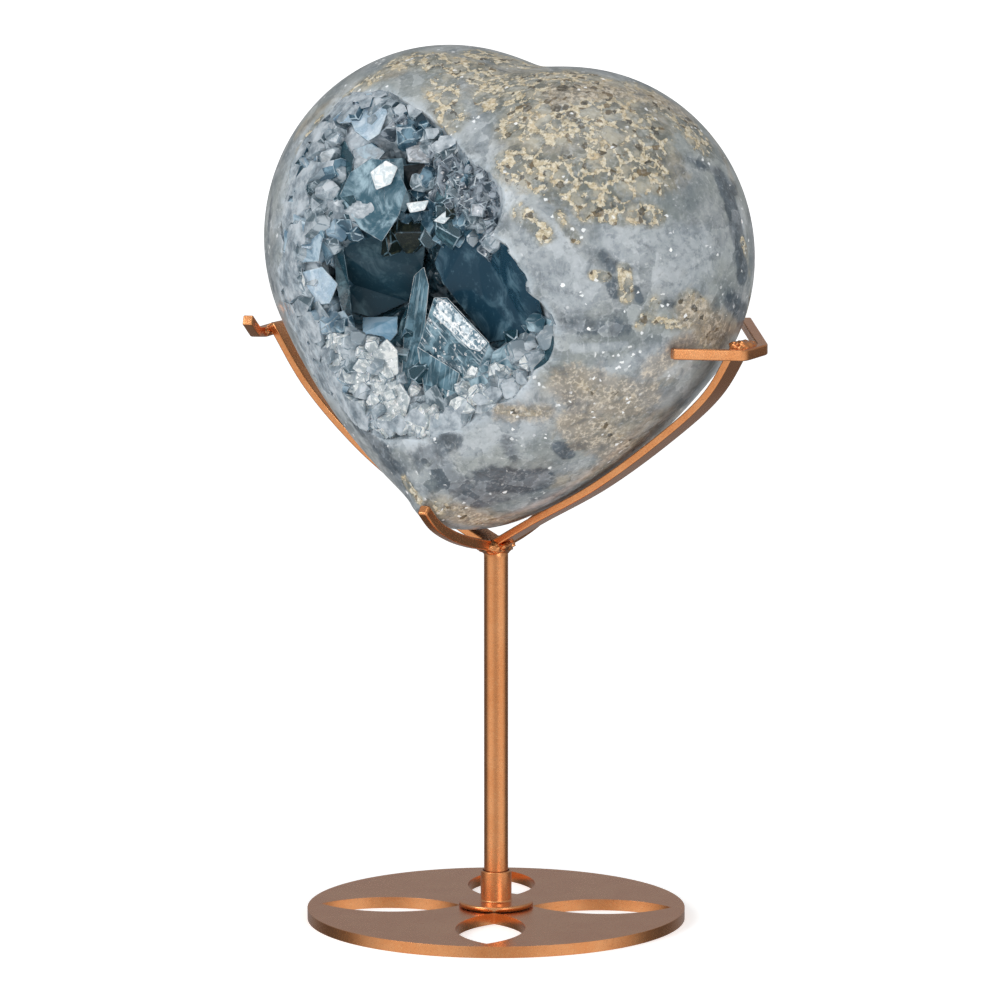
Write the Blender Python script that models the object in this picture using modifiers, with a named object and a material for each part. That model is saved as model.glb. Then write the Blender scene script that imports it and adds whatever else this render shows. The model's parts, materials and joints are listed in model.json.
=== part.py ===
"""A polished celestite heart with an open crystal hollow, resting on a welded metal stand.

Frame: origin at the centre of the base plate's underside, +Z up. The heart faces -Y and its
cleft lies near the plane x = 0. Sizes are in millimetres until they reach Blender.
"""
import math
import random

import bmesh
import bpy
import numpy as np
from mathutils import Matrix, Vector

MM = 0.001
GAP = 0.3

# Base plate and its four pointed-oval slots
PLATE_RADIUS = 50.0
PLATE_THICKNESS = 3.0
PLATE_SEGMENTS = 96
SLOT_LENGTH = 36.8
SLOT_WIDTH = 18.1
SLOT_CENTRE_RADIUS = 28.0
SLOT_TURN = math.radians(28.0)
SLOT_ARC_STEPS = 9

# Socket and post
FLANGE_RADIUS = 9.8
FLANGE_THICKNESS = 1.2
FLANGE_CHAMFER = 0.4
COLLAR_RADIUS = 4.1
COLLAR_TOP = 12.6
POST_RADIUS = 3.2
POST_TOP = 98.2
POST_SEGMENTS = 32
SOCKET_SEGMENTS = 40

# Arms: flat strips in the x-z plane, given by the line of their stone-side face
STRIP_WIDTH = 8.0
STRIP_THICKNESS = 2.0
RIGHT_ARM_LINE = [(0.2, 100.8), (12.0, 107.6), (30.8, 117.8), (49.6, 131.0), (63.4, 143.0),
                  (71.8, 156.2)]
LEFT_ARM_LINE = [(-0.2, 100.8), (-12.0, 106.6), (-24.0, 113.6), (-40.4, 124.9), (-56.0, 139.6),
                 (-67.2, 155.4)]
ARM_STEPS = 4

# Claws and prongs: bent square rods
ROD_SIDE = 2.8
RIGHT_CLAW_PATH = [(62.6, -18.6, 154.1), (75.2, -4.6, 153.2), (75.6, 5.5, 154.0),
                   (58.0, 29.5, 158.4)]
LEFT_CLAW_PATH = [(-66.0, -18.0, 157.2), (-68.6, -10.5, 153.4), (-71.0, -3.6, 152.8),
                  (-71.2, 5.5, 153.6), (-56.0, 27.5, 158.0)]
CLAW_BEND_RADIUS = 3.0
CLAW_BEND_STEPS = 4
# Prongs: reach from the plane of the arms, and height
PRONG_LINE = [(4.4, 99.9), (13.2, 101.6), (22.2, 104.2), (30.4, 107.9), (36.2, 112.7)]
PRONG_STEPS = 3

# Heart: each lobe is a row of ellipsoids that runs from the lobe to the tip
HEART_PLACE = Vector((2.5, 0.0, 163.7))
HEART_ROLL = math.radians(6.3)
LOBE_SPACING = 18.5
LEFT_LOBE = {"radius": 50.4, "height": 13.8}
RIGHT_LOBE = {"radius": 48.4, "height": 14.4}
LOBE_DEPTH = 43.5
TIP_OFFSET = 0.5
TIP_DROP = 48.0
TIP_RADIUS = 10.0
TIP_DEPTH = 33.0
SIDE_BULGE = 4.4
FACE_BULGE = 3.0
CLEFT_SOFTNESS = 4.0
ROW_STEPS = 24
HEART_CELLS = 16
LIMIT_CELLS = 10

# Hollow in the heart's front, dug along one line. A place in it is given as millimetres across
# and up from the heart's place, seen along that line, and a depth along it under the polish
DIG_YAW = math.radians(32.0)
DIG_PITCH = math.radians(-4.0)
OPENING_CENTRE = (-23.0, 10.0)
OPENING_EDGE = [(-45.5, 47.5), (-52.5, 39.0), (-56.0, 29.0), (-57.5, 16.0), (-58.5, 3.0), (-55.0, -7.5),
                (-50.0, -18.0), (-43.5, -26.0), (-38.0, -32.5), (-29.0, -35.5), (-19.5, -34.0),
                (-8.5, -29.5), (2.0, -22.5), (10.0, -15.0), (13.0, -7.0), (10.0, -1.5), (6.0, 2.5),
                (4.0, 8.5), (0.0, 13.0), (-3.5, 17.0), (0.0, 23.5), (-2.0, 30.0), (-9.5, 36.5),
                (-15.0, 42.0), (-22.0, 49.5), (-30.5, 54.5), (-40.0, 54.5)]
RIM_DEPTH = 4.5
RIM_WIDTH = 4.3
INNER_WIDTH = 10.0
# Bowls that deepen the floor: place, radius, depth
BOWLS = [((-32.5, 4.5), 12.0, 27.0), ((-5.0, 5.0), 13.5, 24.0), ((-23.5, 16.0), 9.0, 14.0),
         ((-17.0, -10.5), 12.0, 13.0), ((-24.0, 30.5), 8.5, 5.0), ((-35.0, 35.0), 9.0, 3.0),
         ((3.0, -10.5), 8.0, 5.0)]
LUMP_HEIGHT = 1.2
# Waves that make the lumps: how fast they turn across and up, and where they start
LUMP_WAVES = (((0.31, 0.0), 0.7), ((0.0, 0.27), 1.2), ((0.21, 0.53), 0.0))
# Rings of the hollow's floor, as shares of the way from the opening's middle to its edge
HOLLOW_TURNS = 24
HOLLOW_SHARES = (0.25, 0.47, 0.66, 0.82, 0.94, 1.0)
CUT_BEYOND = 1.06
LID_HEIGHT = 12.0
EDGE_HEIGHT = 5.0
OPEN_BEYOND = 1.1
OPEN_LID = 14.0
BEYOND_RISE = 3.0
INNER_POWER = 0.6
BED_THICKNESS = 3.5
TINY = 1e-9
# The search from in front of the heart along the digging line until it meets the polish
START_BEFORE = 85.0
WALK_STEPS = 40
WALK_SHARE = 0.85
# How far the crust's back keeps from the stone, sideways and along the digging line. Its crystals
# reach a little further back than its bed
BED_CLEARANCE = {"inward": 0.65, "lift": 0.8}
CRYSTAL_CLEARANCE = {"inward": 0.35, "lift": 0.5}
SKIN_DEPTH = 0.6
# The exact solver drops parts of the wall where many crystals cross it
CRUST_SOLVER = "MANIFOLD"

# A crystal narrows to a chisel edge at its tip
TIP_WIDTH_SHARE = 0.72
TIP_THICKNESS_SHARE = 0.3
SHOULDER_SHARE = 0.25

# Main crystals of the hollow: root and tip (across, up, depth), width, thickness, and turn about
# their axis in degrees, with no turn where the broad side faces the front
MAIN_CRYSTALS = {
    "striated_blade": ((-14, -26, 21), (-18, 0, 12), 13, 5, 12),
    "blade_side": ((-11, -24, 14), (-5, -9, 12), 6, 4, -30),
    "blade_foot": ((-16, -31, 12), (-18, -20, 8), 9, 5, 10),
    "teal_prism": ((-26, -25, 20), (-22, 8, 17), 5.6, 5, 20),
    "hanging_plate": ((-39, 37, 6), (-31, 15, 8), 17, 6, 8),
    "hanging_plate_right": ((-29, 36, 6), (-27, 20, 9), 7, 5, 25),
    "pale_chunk": ((-36, 57, 5), (-35, 41, 3), 10.5, 9, 10),
    "pocket_back": ((-39, -8, 34), (-27, 17, 27), 24, 12, 10),
    "pocket_left": ((-44, -2, 26), (-39, 10, 20), 9, 7, -40),
    "pocket_shelf": ((-32, -14, 25), (-32, -3, 21), 9.4, 8, 0),
    "great_face": ((10, -11, 32), (-16, 16, 21), 27, 14, 12),
    "great_face_low": ((8, -17, 24), (-4, -2, 18), 16, 12, 25),
    "dark_box": ((-23, 36, 9), (-23, 26, 8), 7.2, 6.5, 5),
    "olive_back": ((-22, 25, 22), (-24, 12, 18), 14, 8, -10),
    "left_block": ((-53, 20, 6), (-47, 13, 5), 10, 8, 20),
    "left_frost": ((-56, -1, 7), (-48, 6, 5), 12, 8, -10),
    "frost_mound": ((-29, -33, 8), (-31, -18, 5), 11, 8, 5),
    "lower_ledge": ((3, -23, 9), (1, -12, 7), 10, 7, -10),
    "lower_ledge_right": ((9, -16, 8), (8, -6, 8), 9, 7, 20),
}

# Bed crystals stand all over the crust's floor
GOLDEN_ANGLE = math.pi * (3.0 - math.sqrt(5.0))
BED_SEED = 8
BED_CRYSTAL_COUNT = 27
BED_SPREAD = 0.88
BED_ROOT_DEPTH = 1.5
BED_WIDTHS = (7.0, 11.0)
BED_RISES = (5.0, 8.0)
BED_LEAN = 0.5
BED_THICKNESS_SHARES = (0.55, 0.85)

# Looks: colour, roughness, metallic
COPPER_PAINT = ((0.60, 0.29, 0.14), 0.35, 0.85)
POLISHED_CELESTITE = ((0.42, 0.50, 0.55), 0.15, 0.0)
CELESTITE_CRYSTAL = ((0.25, 0.42, 0.50), 0.08, 0.0)


def heart_frame():
    """The heart's own frame in the world: rolled about Y, then moved to its place."""
    return Matrix.Translation(HEART_PLACE) @ Matrix.Rotation(HEART_ROLL, 4, "Y")


def ray_leaves_ellipsoid(directions, centre, radius, depth):
    """Distance along each direction, from the origin, to the far side of an ellipsoid."""
    squeeze = np.array([1.0, radius / depth, 1.0])
    ray = directions * squeeze
    start = -centre * squeeze
    a = (ray * ray).sum(axis=1)
    b = ray @ start
    c = start @ start - radius * radius
    inside_root = b * b - a * c
    return np.where(inside_root > 0, (-b + np.sqrt(np.maximum(inside_root, 0))) / a, 0)


def heart_radius(directions):
    """The heart's surface as a distance from its middle, for each unit direction."""
    sides = []
    for sign, lobe in ((-1, LEFT_LOBE), (1, RIGHT_LOBE)):
        top = np.array([sign * LOBE_SPACING, 0.0, lobe["height"]])
        tip = np.array([TIP_OFFSET, 0.0, -TIP_DROP])
        reach = np.zeros(len(directions))
        for t in np.linspace(0.0, 1.0, ROW_STEPS):
            swell = 4.0 * t * (1.0 - t)
            radius = lobe["radius"] + (TIP_RADIUS - lobe["radius"]) * t + SIDE_BULGE * swell
            depth = LOBE_DEPTH + (TIP_DEPTH - LOBE_DEPTH) * t + FACE_BULGE * swell
            centre = top + (tip - top) * t
            reach = np.maximum(reach, ray_leaves_ellipsoid(directions, centre, radius, depth))
        sides.append(reach)
    left, right = sides
    return 0.5 * (left + right + np.sqrt((left - right) ** 2 + CLEFT_SOFTNESS ** 2))


def dig_axes():
    """Unit vectors of the digging line: across, into the stone, and up."""
    into = np.array([-math.sin(DIG_YAW) * math.cos(DIG_PITCH), math.cos(DIG_YAW) * math.cos(DIG_PITCH),
                     math.sin(DIG_PITCH)])
    across = np.array([math.cos(DIG_YAW), math.sin(DIG_YAW), 0.0])
    return across, into, np.cross(across, into)


def outside_heart(points):
    """How far each point is outside the heart's surface, measured from its middle."""
    local = (points - np.array(HEART_PLACE)) @ np.array(heart_frame().to_3x3())
    distance = np.linalg.norm(local, axis=1)
    return distance - heart_radius(local / distance[:, None])


def dug_points(places, depths):
    """Points at depths under the heart's front, for places across and up."""
    across, into, up = dig_axes()
    places = np.atleast_2d(np.array(places, float))
    line = np.array(HEART_PLACE) + places[:, 0:1] * across + places[:, 1:2] * up
    walked = np.full(len(places), -START_BEFORE)
    nearest = np.full(len(places), START_BEFORE)
    best = walked.copy()
    for _ in range(WALK_STEPS):
        gap = outside_heart(line + into * walked[:, None])
        closer = np.abs(gap) < nearest
        nearest = np.where(closer, np.abs(gap), nearest)
        best = np.where(closer, walked, best)
        walked = np.minimum(walked + gap * WALK_SHARE, START_BEFORE)
    return line + into * (best + depths)[:, None]


def from_opening_edge(places):
    """Distance of each place from the opening's edge, less than 0 beyond it."""
    offset = np.atleast_2d(np.array(places, float)) - OPENING_CENTRE
    edge = np.array(OPENING_EDGE) - OPENING_CENTRE
    angles = np.arctan2(edge[:, 1], edge[:, 0])
    order = np.argsort(angles)
    around = angles[order]
    reach = np.interp(np.arctan2(offset[:, 1], offset[:, 0]),
                      np.concatenate([around - 2 * math.pi, around, around + 2 * math.pi]),
                      np.tile(np.linalg.norm(edge, axis=1)[order], 3))
    return reach - np.linalg.norm(offset, axis=1)


def hollow_depth(places, thickness=0.0):
    """Depth of the hollow's floor, or of what lies a thickness behind it, less at the edge."""
    places = np.atleast_2d(np.array(places, float))
    inward = from_opening_edge(places)
    rise = np.clip(inward / RIM_WIDTH, -1.0, 1.0)
    depth = np.where(rise > 0, RIM_DEPTH * np.sqrt(np.maximum(rise, 0)), BEYOND_RISE * rise)
    inner = np.clip(inward / INNER_WIDTH, 0, 1) ** INNER_POWER
    for middle, radius, extra in BOWLS:
        gap = np.linalg.norm(places - middle, axis=1) / radius
        depth = depth + extra * np.exp(-gap ** 3) * inner
    first, second, third = [np.sin(places @ np.array(wave) + start) for wave, start in LUMP_WAVES]
    lumps = LUMP_HEIGHT * (first * second + 0.5 * third)
    return depth + (lumps + thickness) * np.clip(rise, 0, 1)


def material(name, look):
    """A plain Principled material."""
    colour, roughness, metallic = look
    made = bpy.data.materials.new(name)
    made.use_nodes = True
    shader = made.node_tree.nodes["Principled BSDF"]
    shader.inputs["Base Color"].default_value = (*colour, 1.0)
    shader.inputs["Roughness"].default_value = roughness
    shader.inputs["Metallic"].default_value = metallic
    return made


def new_object(name, mesh, collection, look=None):
    """Puts a mesh into a collection under a name."""
    made = bpy.data.objects.new(name, mesh)
    collection.objects.link(made)
    if look:
        mesh.materials.append(look)
    return made


def mesh_from_bmesh(name, shape):
    """Writes a bmesh, in millimetres, into a mesh in metres."""
    bmesh.ops.scale(shape, vec=(MM, MM, MM), verts=shape.verts)
    bmesh.ops.recalc_face_normals(shape, faces=shape.faces)
    mesh = bpy.data.meshes.new(name)
    shape.to_mesh(mesh)
    shape.free()
    return mesh


def as_cutter(made):
    """Marks an object as a shape that only cuts or guides others."""
    made.hide_render = True
    made.display_type = "WIRE"
    return made


def boolean(made, operation, other=None, group=None, solver="EXACT"):
    """Adds a Boolean with one object or with a collection of them."""
    modifier = made.modifiers.new(operation.title(), "BOOLEAN")
    modifier.operation = operation
    modifier.solver = solver
    if group:
        modifier.operand_type = "COLLECTION"
        modifier.collection = group
    else:
        modifier.object = other
    return modifier


def shade_round(mesh, sharp_angle=35.0):
    """Smooth shading that keeps the edges sharper than an angle."""
    mesh.shade_smooth()
    mesh.set_sharp_from_angle(angle=math.radians(sharp_angle))


def heart_mesh(name, inset, cells):
    """The closed heart, moved in by an inset: a cube with square cells on each side, blown up."""
    shape = bmesh.new()
    bmesh.ops.create_cube(shape, size=2.0)
    bmesh.ops.subdivide_edges(shape, edges=shape.edges, cuts=cells - 1, use_grid_fill=True)
    even = math.pi / 4
    directions = np.array([[math.tan(even * axis) for axis in vert.co] for vert in shape.verts])
    directions /= np.linalg.norm(directions, axis=1)[:, None]
    reach = heart_radius(directions) - inset
    place = heart_frame()
    for vert, direction, distance in zip(shape.verts, directions, reach):
        vert.co = place @ Vector(direction * distance)
    bmesh.ops.triangulate(shape, faces=shape.faces)
    return mesh_from_bmesh(name, shape)


def hollow_mesh(name, thickness=0.0, inward=0.0, lift=0.0, beyond=CUT_BEYOND, lid=LID_HEIGHT):
    """The hollow's open space: a ball whose lower half is pressed into the floor's form."""
    shape = bmesh.new()
    rings = len(HOLLOW_SHARES) + 1
    bmesh.ops.create_uvsphere(shape, u_segments=HOLLOW_TURNS, v_segments=2 * rings, radius=1.0)
    ball = np.array([tuple(vert.co) for vert in shape.verts])
    from_pole = np.arccos(np.clip(np.abs(ball[:, 2]), 0, 1)) / (math.pi / 2)
    ring = np.rint(from_pole * rings).astype(int)
    share = np.array((0.0,) + HOLLOW_SHARES + (beyond,))[ring]
    ways = ball[:, :2] / np.maximum(np.linalg.norm(ball[:, :2], axis=1), TINY)[:, None]
    ways[ring == 0] = (1.0, 0.0)
    middle = np.array(OPENING_CENTRE)
    reach = from_opening_edge(middle + ways * START_BEFORE) + START_BEFORE
    places = middle + ways * (reach * share)[:, None]
    depth = np.where(ball[:, 2] < 0, hollow_depth(places, thickness) - lift, -lid)
    depth = np.where(ring == rings, -EDGE_HEIGHT, depth)
    points = dug_points(places - ways * (inward * (ring > 0))[:, None], depth)
    for vert, point in zip(shape.verts, points):
        vert.co = point
    bmesh.ops.triangulate(shape, faces=shape.faces)
    return mesh_from_bmesh(name, shape)


def crystal_mesh(name, root, tip, width, thickness, twist):
    """A flat six-sided crystal from root to tip, ending in a chisel edge."""
    axis = tip - root
    length = axis.length
    shape = bmesh.new()
    bmesh.ops.create_cone(shape, cap_ends=True, segments=6, radius1=0.5, radius2=0.5, depth=1.0)
    bmesh.ops.translate(shape, vec=(0, 0, 0.5), verts=shape.verts)
    top = next(face for face in shape.faces if face.normal.z > 0.9)
    shoulder = list(top.verts)
    grown = bmesh.ops.extrude_face_region(shape, geom=[top])
    bmesh.ops.delete(shape, geom=[top], context="FACES_ONLY")
    edge = [item for item in grown["geom"] if isinstance(item, bmesh.types.BMVert)]
    for vert in shoulder:
        vert.co.z = 1.0 - SHOULDER_SHARE * min(width, length) / length
    for vert in edge:
        vert.co.x *= TIP_WIDTH_SHARE
        vert.co.y *= TIP_THICKNESS_SHARE
    # A hexagon is narrower across its flats, so the thickness is measured between those
    size = (width, thickness / math.cos(math.pi / 6), length)
    bmesh.ops.scale(shape, vec=size, verts=shape.verts)
    along = axis.normalized()
    across = along.cross(Vector(dig_axes()[1])).normalized()
    turn = Matrix((across, across.cross(along) * -1.0, along)).transposed().to_4x4()
    turn = turn @ Matrix.Rotation(math.radians(twist), 4, "Z")
    bmesh.ops.transform(shape, matrix=Matrix.Translation(root) @ turn, verts=shape.verts)
    return mesh_from_bmesh(name, shape)


def main_crystals():
    """The named crystals, with their ends as points."""
    made = {}
    for name, (root, tip, width, thickness, twist) in MAIN_CRYSTALS.items():
        ends = dug_points([root[:2], tip[:2]], np.array([root[2], tip[2]]))
        made[name] = (Vector(ends[0]), Vector(ends[1]), width, thickness, twist)
    return made


def bed_crystals():
    """Small crystals that stand all over the hollow's floor."""
    rng = random.Random(BED_SEED)
    into = Vector(dig_axes()[1])
    middle = np.array(OPENING_CENTRE)
    made = {}
    for index in range(BED_CRYSTAL_COUNT):
        around = index * GOLDEN_ANGLE
        way = np.array([math.cos(around), math.sin(around)])
        reach = from_opening_edge(middle + way * START_BEFORE)[0] + START_BEFORE
        place = middle + way * reach * BED_SPREAD * math.sqrt((index + 0.5) / BED_CRYSTAL_COUNT)
        root = Vector(dug_points(place, hollow_depth(place) + BED_ROOT_DEPTH)[0])
        lean = Vector([rng.uniform(-BED_LEAN, BED_LEAN) for _ in range(3)])
        width = rng.uniform(*BED_WIDTHS)
        thickness = width * rng.uniform(*BED_THICKNESS_SHARES)
        tip = root + (lean - into).normalized() * rng.uniform(*BED_RISES)
        made["bed_crystal_%02d" % index] = (root, tip, width, thickness, rng.uniform(0.0, 180.0))
    return made


def strip_outline(line):
    """Closed outline of a bent strip: the stone-side line and its parallel on the far side."""
    inner = smooth_path([Vector((x, 0.0, z)) for x, z in line], ARM_STEPS)
    outward = 1.0 if line[-1][0] > 0 else -1.0
    outer = []
    for index, point in enumerate(inner):
        before = inner[max(index - 1, 0)]
        after = inner[min(index + 1, len(inner) - 1)]
        run = (after - before).normalized()
        normal = Vector((run.z, 0.0, -run.x)) * outward
        outer.append(point + normal * STRIP_THICKNESS)
    # The foot is cut upright, so that the two arms meet face to face
    slope = (outer[1].z - outer[0].z) / (outer[1].x - outer[0].x)
    outer[0] = Vector((inner[0].x, 0.0, outer[0].z + slope * (inner[0].x - outer[0].x)))
    return [(point.x, point.z) for point in inner + outer[::-1]]


def smooth_path(points, steps):
    """A smooth curve through points, with a number of steps between each two of them."""
    ends = [points[0] * 2 - points[1]] + list(points) + [points[-1] * 2 - points[-2]]
    path = []
    for index in range(1, len(ends) - 2):
        a, b, c, d = ends[index - 1:index + 3]
        for step in range(steps):
            t = step / steps
            path.append(0.5 * (b * 2 + (c - a) * t + (a * 2 - b * 5 + c * 4 - d) * t ** 2
                               + (b * 3 - a - c * 3 + d) * t ** 3))
    path.append(points[-1])
    return path


def rounded_path(points, radius):
    """A path of straight runs whose corners are rounded by arcs of about one radius."""
    path = [points[0]]
    for before, corner, after in zip(points, points[1:], points[2:]):
        to_before = (before - corner).normalized()
        to_after = (after - corner).normalized()
        half_angle = to_before.angle(to_after) / 2
        shorter_run = min((before - corner).length, (after - corner).length)
        cut = min(radius / math.tan(half_angle), 0.45 * shorter_run)
        start = corner + to_before * cut
        end = corner + to_after * cut
        for step in range(CLAW_BEND_STEPS + 1):
            t = step / CLAW_BEND_STEPS
            path.append(start * (1 - t) ** 2 + corner * 2 * t * (1 - t) + end * t ** 2)
    path.append(points[-1])
    return path


def mesh_of_curve(name, curve, matrix=None):
    """The welded mesh of a curve, which is then removed."""
    holder = bpy.data.objects.new(name + "_curve", curve)
    bpy.context.scene.collection.objects.link(holder)
    if matrix:
        holder.matrix_world = matrix
    bpy.context.view_layer.update()
    evaluated = holder.evaluated_get(bpy.context.evaluated_depsgraph_get())
    mesh = bpy.data.meshes.new_from_object(evaluated)
    mesh.name = name
    if matrix:
        mesh.transform(matrix)
    shape = bmesh.new()
    shape.from_mesh(mesh)
    bmesh.ops.remove_doubles(shape, verts=shape.verts, dist=1e-6)
    bmesh.ops.recalc_face_normals(shape, faces=shape.faces)
    shape.to_mesh(mesh)
    shape.free()
    bpy.data.objects.remove(holder)
    return mesh


def prism_mesh(name, outline, thickness, matrix):
    """A flat outline given thickness, half on each side of its plane."""
    curve = bpy.data.curves.new(name, "CURVE")
    curve.dimensions = "2D"
    curve.fill_mode = "BOTH"
    curve.extrude = thickness / 2 * MM
    spline = curve.splines.new("POLY")
    spline.points.add(len(outline) - 1)
    for point, (across, up) in zip(spline.points, outline):
        point.co = (across * MM, up * MM, 0.0, 1.0)
    spline.use_cyclic_u = True
    return mesh_of_curve(name, curve, matrix)


def rod_mesh(name, path):
    """A square rod along a path, with its faces level."""
    curve = bpy.data.curves.new(name, "CURVE")
    curve.dimensions = "3D"
    curve.twist_mode = "Z_UP"
    curve.bevel_depth = ROD_SIDE / math.sqrt(2) * MM
    curve.bevel_resolution = 0
    curve.use_fill_caps = True
    spline = curve.splines.new("POLY")
    spline.points.add(len(path) - 1)
    for point, place in zip(spline.points, path):
        point.co = (*(place * MM), 1.0)
        point.tilt = math.radians(45.0)
    return mesh_of_curve(name, curve)


def lens_outline():
    """Pointed oval made of two arcs, with its tips on the first axis."""
    half_length = SLOT_LENGTH / 2
    half_width = SLOT_WIDTH / 2
    arc_radius = (half_length ** 2 + half_width ** 2) / (2 * half_width)
    half_angle = math.asin(half_length / arc_radius)
    outline = []
    for side in (1, -1):
        for step in range(SLOT_ARC_STEPS):
            angle = half_angle * (1 - 2 * step / SLOT_ARC_STEPS)
            outline.append((side * arc_radius * math.sin(angle),
                            side * (arc_radius * math.cos(angle) - arc_radius + half_width)))
    return outline


def build_base_plate(parts, cutters, look):
    """Round plate with four pointed-oval slots in a cross."""
    shape = bmesh.new()
    bmesh.ops.create_cone(shape, cap_ends=True, segments=PLATE_SEGMENTS, radius1=PLATE_RADIUS,
                          radius2=PLATE_RADIUS, depth=PLATE_THICKNESS)
    bmesh.ops.translate(shape, vec=(0, 0, PLATE_THICKNESS / 2), verts=shape.verts)
    plate = new_object("base_plate", mesh_from_bmesh("base_plate", shape), parts, look)
    for index in range(4):
        turn = Matrix.Rotation(SLOT_TURN + index * math.pi / 2, 4, "Z")
        place = turn @ Matrix.Translation((SLOT_CENTRE_RADIUS * MM, 0, PLATE_THICKNESS / 2 * MM))
        mesh = prism_mesh("slot_%d" % index, lens_outline(), 3 * PLATE_THICKNESS, place)
        boolean(plate, "DIFFERENCE", as_cutter(new_object("slot_cutter_%d" % index, mesh, cutters)))
    shade_round(plate.data)
    return plate


def build_post_socket(parts, look):
    """Flange and collar in one turned piece, with a bore for the post."""
    bottom = PLATE_THICKNESS + GAP
    flange_top = bottom + FLANGE_THICKNESS
    bore = POST_RADIUS + GAP
    profile = [(bore, COLLAR_TOP), (COLLAR_RADIUS, COLLAR_TOP), (COLLAR_RADIUS, flange_top),
               (FLANGE_RADIUS - FLANGE_CHAMFER, flange_top),
               (FLANGE_RADIUS, flange_top - FLANGE_CHAMFER), (FLANGE_RADIUS, bottom), (bore, bottom)]
    shape = bmesh.new()
    verts = [shape.verts.new((r * MM, 0.0, z * MM)) for r, z in profile]
    for first, second in zip(verts, verts[1:] + verts[:1]):
        shape.edges.new((first, second))
    mesh = bpy.data.meshes.new("post_socket")
    shape.to_mesh(mesh)
    shape.free()
    socket = new_object("post_socket", mesh, parts, look)
    screw = socket.modifiers.new("Turn", "SCREW")
    screw.steps = SOCKET_SEGMENTS
    screw.render_steps = SOCKET_SEGMENTS
    screw.merge_threshold = 0.00001
    screw.use_merge_vertices = True
    screw.use_smooth_shade = False
    return socket


def build_post(parts, look):
    """Round rod that stands in the socket."""
    foot = PLATE_THICKNESS + GAP
    shape = bmesh.new()
    bmesh.ops.create_cone(shape, cap_ends=True, segments=POST_SEGMENTS, radius1=POST_RADIUS,
                          radius2=POST_RADIUS, depth=POST_TOP - foot)
    bmesh.ops.translate(shape, vec=(0, 0, (POST_TOP + foot) / 2), verts=shape.verts)
    post = new_object("post", mesh_from_bmesh("post", shape), parts, look)
    shade_round(post.data)
    return post


def build_arms(parts, look):
    """Two flat strips that rise from the post's top along the heart's lower sides."""
    upright = Matrix.Rotation(math.pi / 2, 4, "X")
    for name, line in (("right_arm", RIGHT_ARM_LINE), ("left_arm", LEFT_ARM_LINE)):
        new_object(name, prism_mesh(name, strip_outline(line), STRIP_WIDTH, upright), parts, look)


def build_claws(parts, look):
    """Bent rods across the outer faces of the arms."""
    for name, points in (("right_claw", RIGHT_CLAW_PATH), ("left_claw", LEFT_CLAW_PATH)):
        path = rounded_path([Vector(point) for point in points], CLAW_BEND_RADIUS)
        new_object(name, rod_mesh(name, path), parts, look)


def build_prongs(parts, look):
    """Curved rods in front of and behind the arms, under the heart's tip."""
    for name, toward in (("front_prong", -1.0), ("back_prong", 1.0)):
        points = [Vector((0.0, toward * reach, height)) for reach, height in PRONG_LINE]
        new_object(name, rod_mesh(name, smooth_path(points, PRONG_STEPS)), parts, look)


def build_heart(parts, cutters, look):
    """The polished stone, with its hollow cut in the front."""
    heart = new_object("heart", heart_mesh("heart", 0.0, HEART_CELLS), parts, look)
    hollow = hollow_mesh("hollow_cutter", BED_THICKNESS)
    boolean(heart, "DIFFERENCE", as_cutter(new_object("hollow_cutter", hollow, cutters)))
    shade_round(heart.data)
    return heart


def build_crystal_crust(parts, cutters, grown, look):
    """The crust that lines the hollow: a bed behind the open space, and the crystals on it."""
    bed = hollow_mesh("crystal_crust", BED_THICKNESS, **BED_CLEARANCE)
    crust = new_object("crystal_crust", bed, parts, look)
    open_space = hollow_mesh("open_space", beyond=OPEN_BEYOND, lid=OPEN_LID)
    space = as_cutter(new_object("open_space", open_space, cutters))
    polish = heart_mesh("skin_limit", SKIN_DEPTH, LIMIT_CELLS)
    skin = as_cutter(new_object("skin_limit", polish, cutters))
    back = hollow_mesh("plug_limit", BED_THICKNESS, **CRYSTAL_CLEARANCE)
    plug = as_cutter(new_object("plug_limit", back, cutters))
    boolean(plug, "INTERSECT", skin, solver=CRUST_SOLVER)
    for name, shape in {**main_crystals(), **bed_crystals()}.items():
        as_cutter(new_object(name, crystal_mesh(name, *shape), grown))
    boolean(crust, "DIFFERENCE", space, solver=CRUST_SOLVER)
    boolean(crust, "UNION", group=grown, solver=CRUST_SOLVER)
    boolean(crust, "INTERSECT", plug, solver=CRUST_SOLVER)
    return crust


def main():
    for old in list(bpy.data.objects):
        bpy.data.objects.remove(old)
    root = bpy.context.scene.collection
    parts = bpy.data.collections.new("celestite_heart")
    cutters = bpy.data.collections.new("cutters")
    grown = bpy.data.collections.new("grown_crystals")
    for group in (parts, cutters, grown):
        root.children.link(group)
    metal = material("copper_paint", COPPER_PAINT)
    stone = material("polished_celestite", POLISHED_CELESTITE)
    crystal = material("celestite_crystal", CELESTITE_CRYSTAL)
    build_base_plate(parts, cutters, metal)
    build_post_socket(parts, metal)
    build_post(parts, metal)
    build_arms(parts, metal)
    build_claws(parts, metal)
    build_prongs(parts, metal)
    build_heart(parts, cutters, stone)
    build_crystal_crust(parts, cutters, grown, crystal)


main()
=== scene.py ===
"""Looks of a polished celestite heart with a crystal hollow, on a welded copper-coloured stand.

The frame's origin is the centre of the base plate's underside, +Z up; the heart faces -Y.
Lengths are in millimetres until they reach Blender. Places on the stone are given as seen from
the camera: a point of the 1000 x 1000 view, and a depth under the polished surface.
"""
import json
import math
import random

import bmesh
import bpy
import numpy as np
from mathutils import Matrix, Vector, noise

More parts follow.
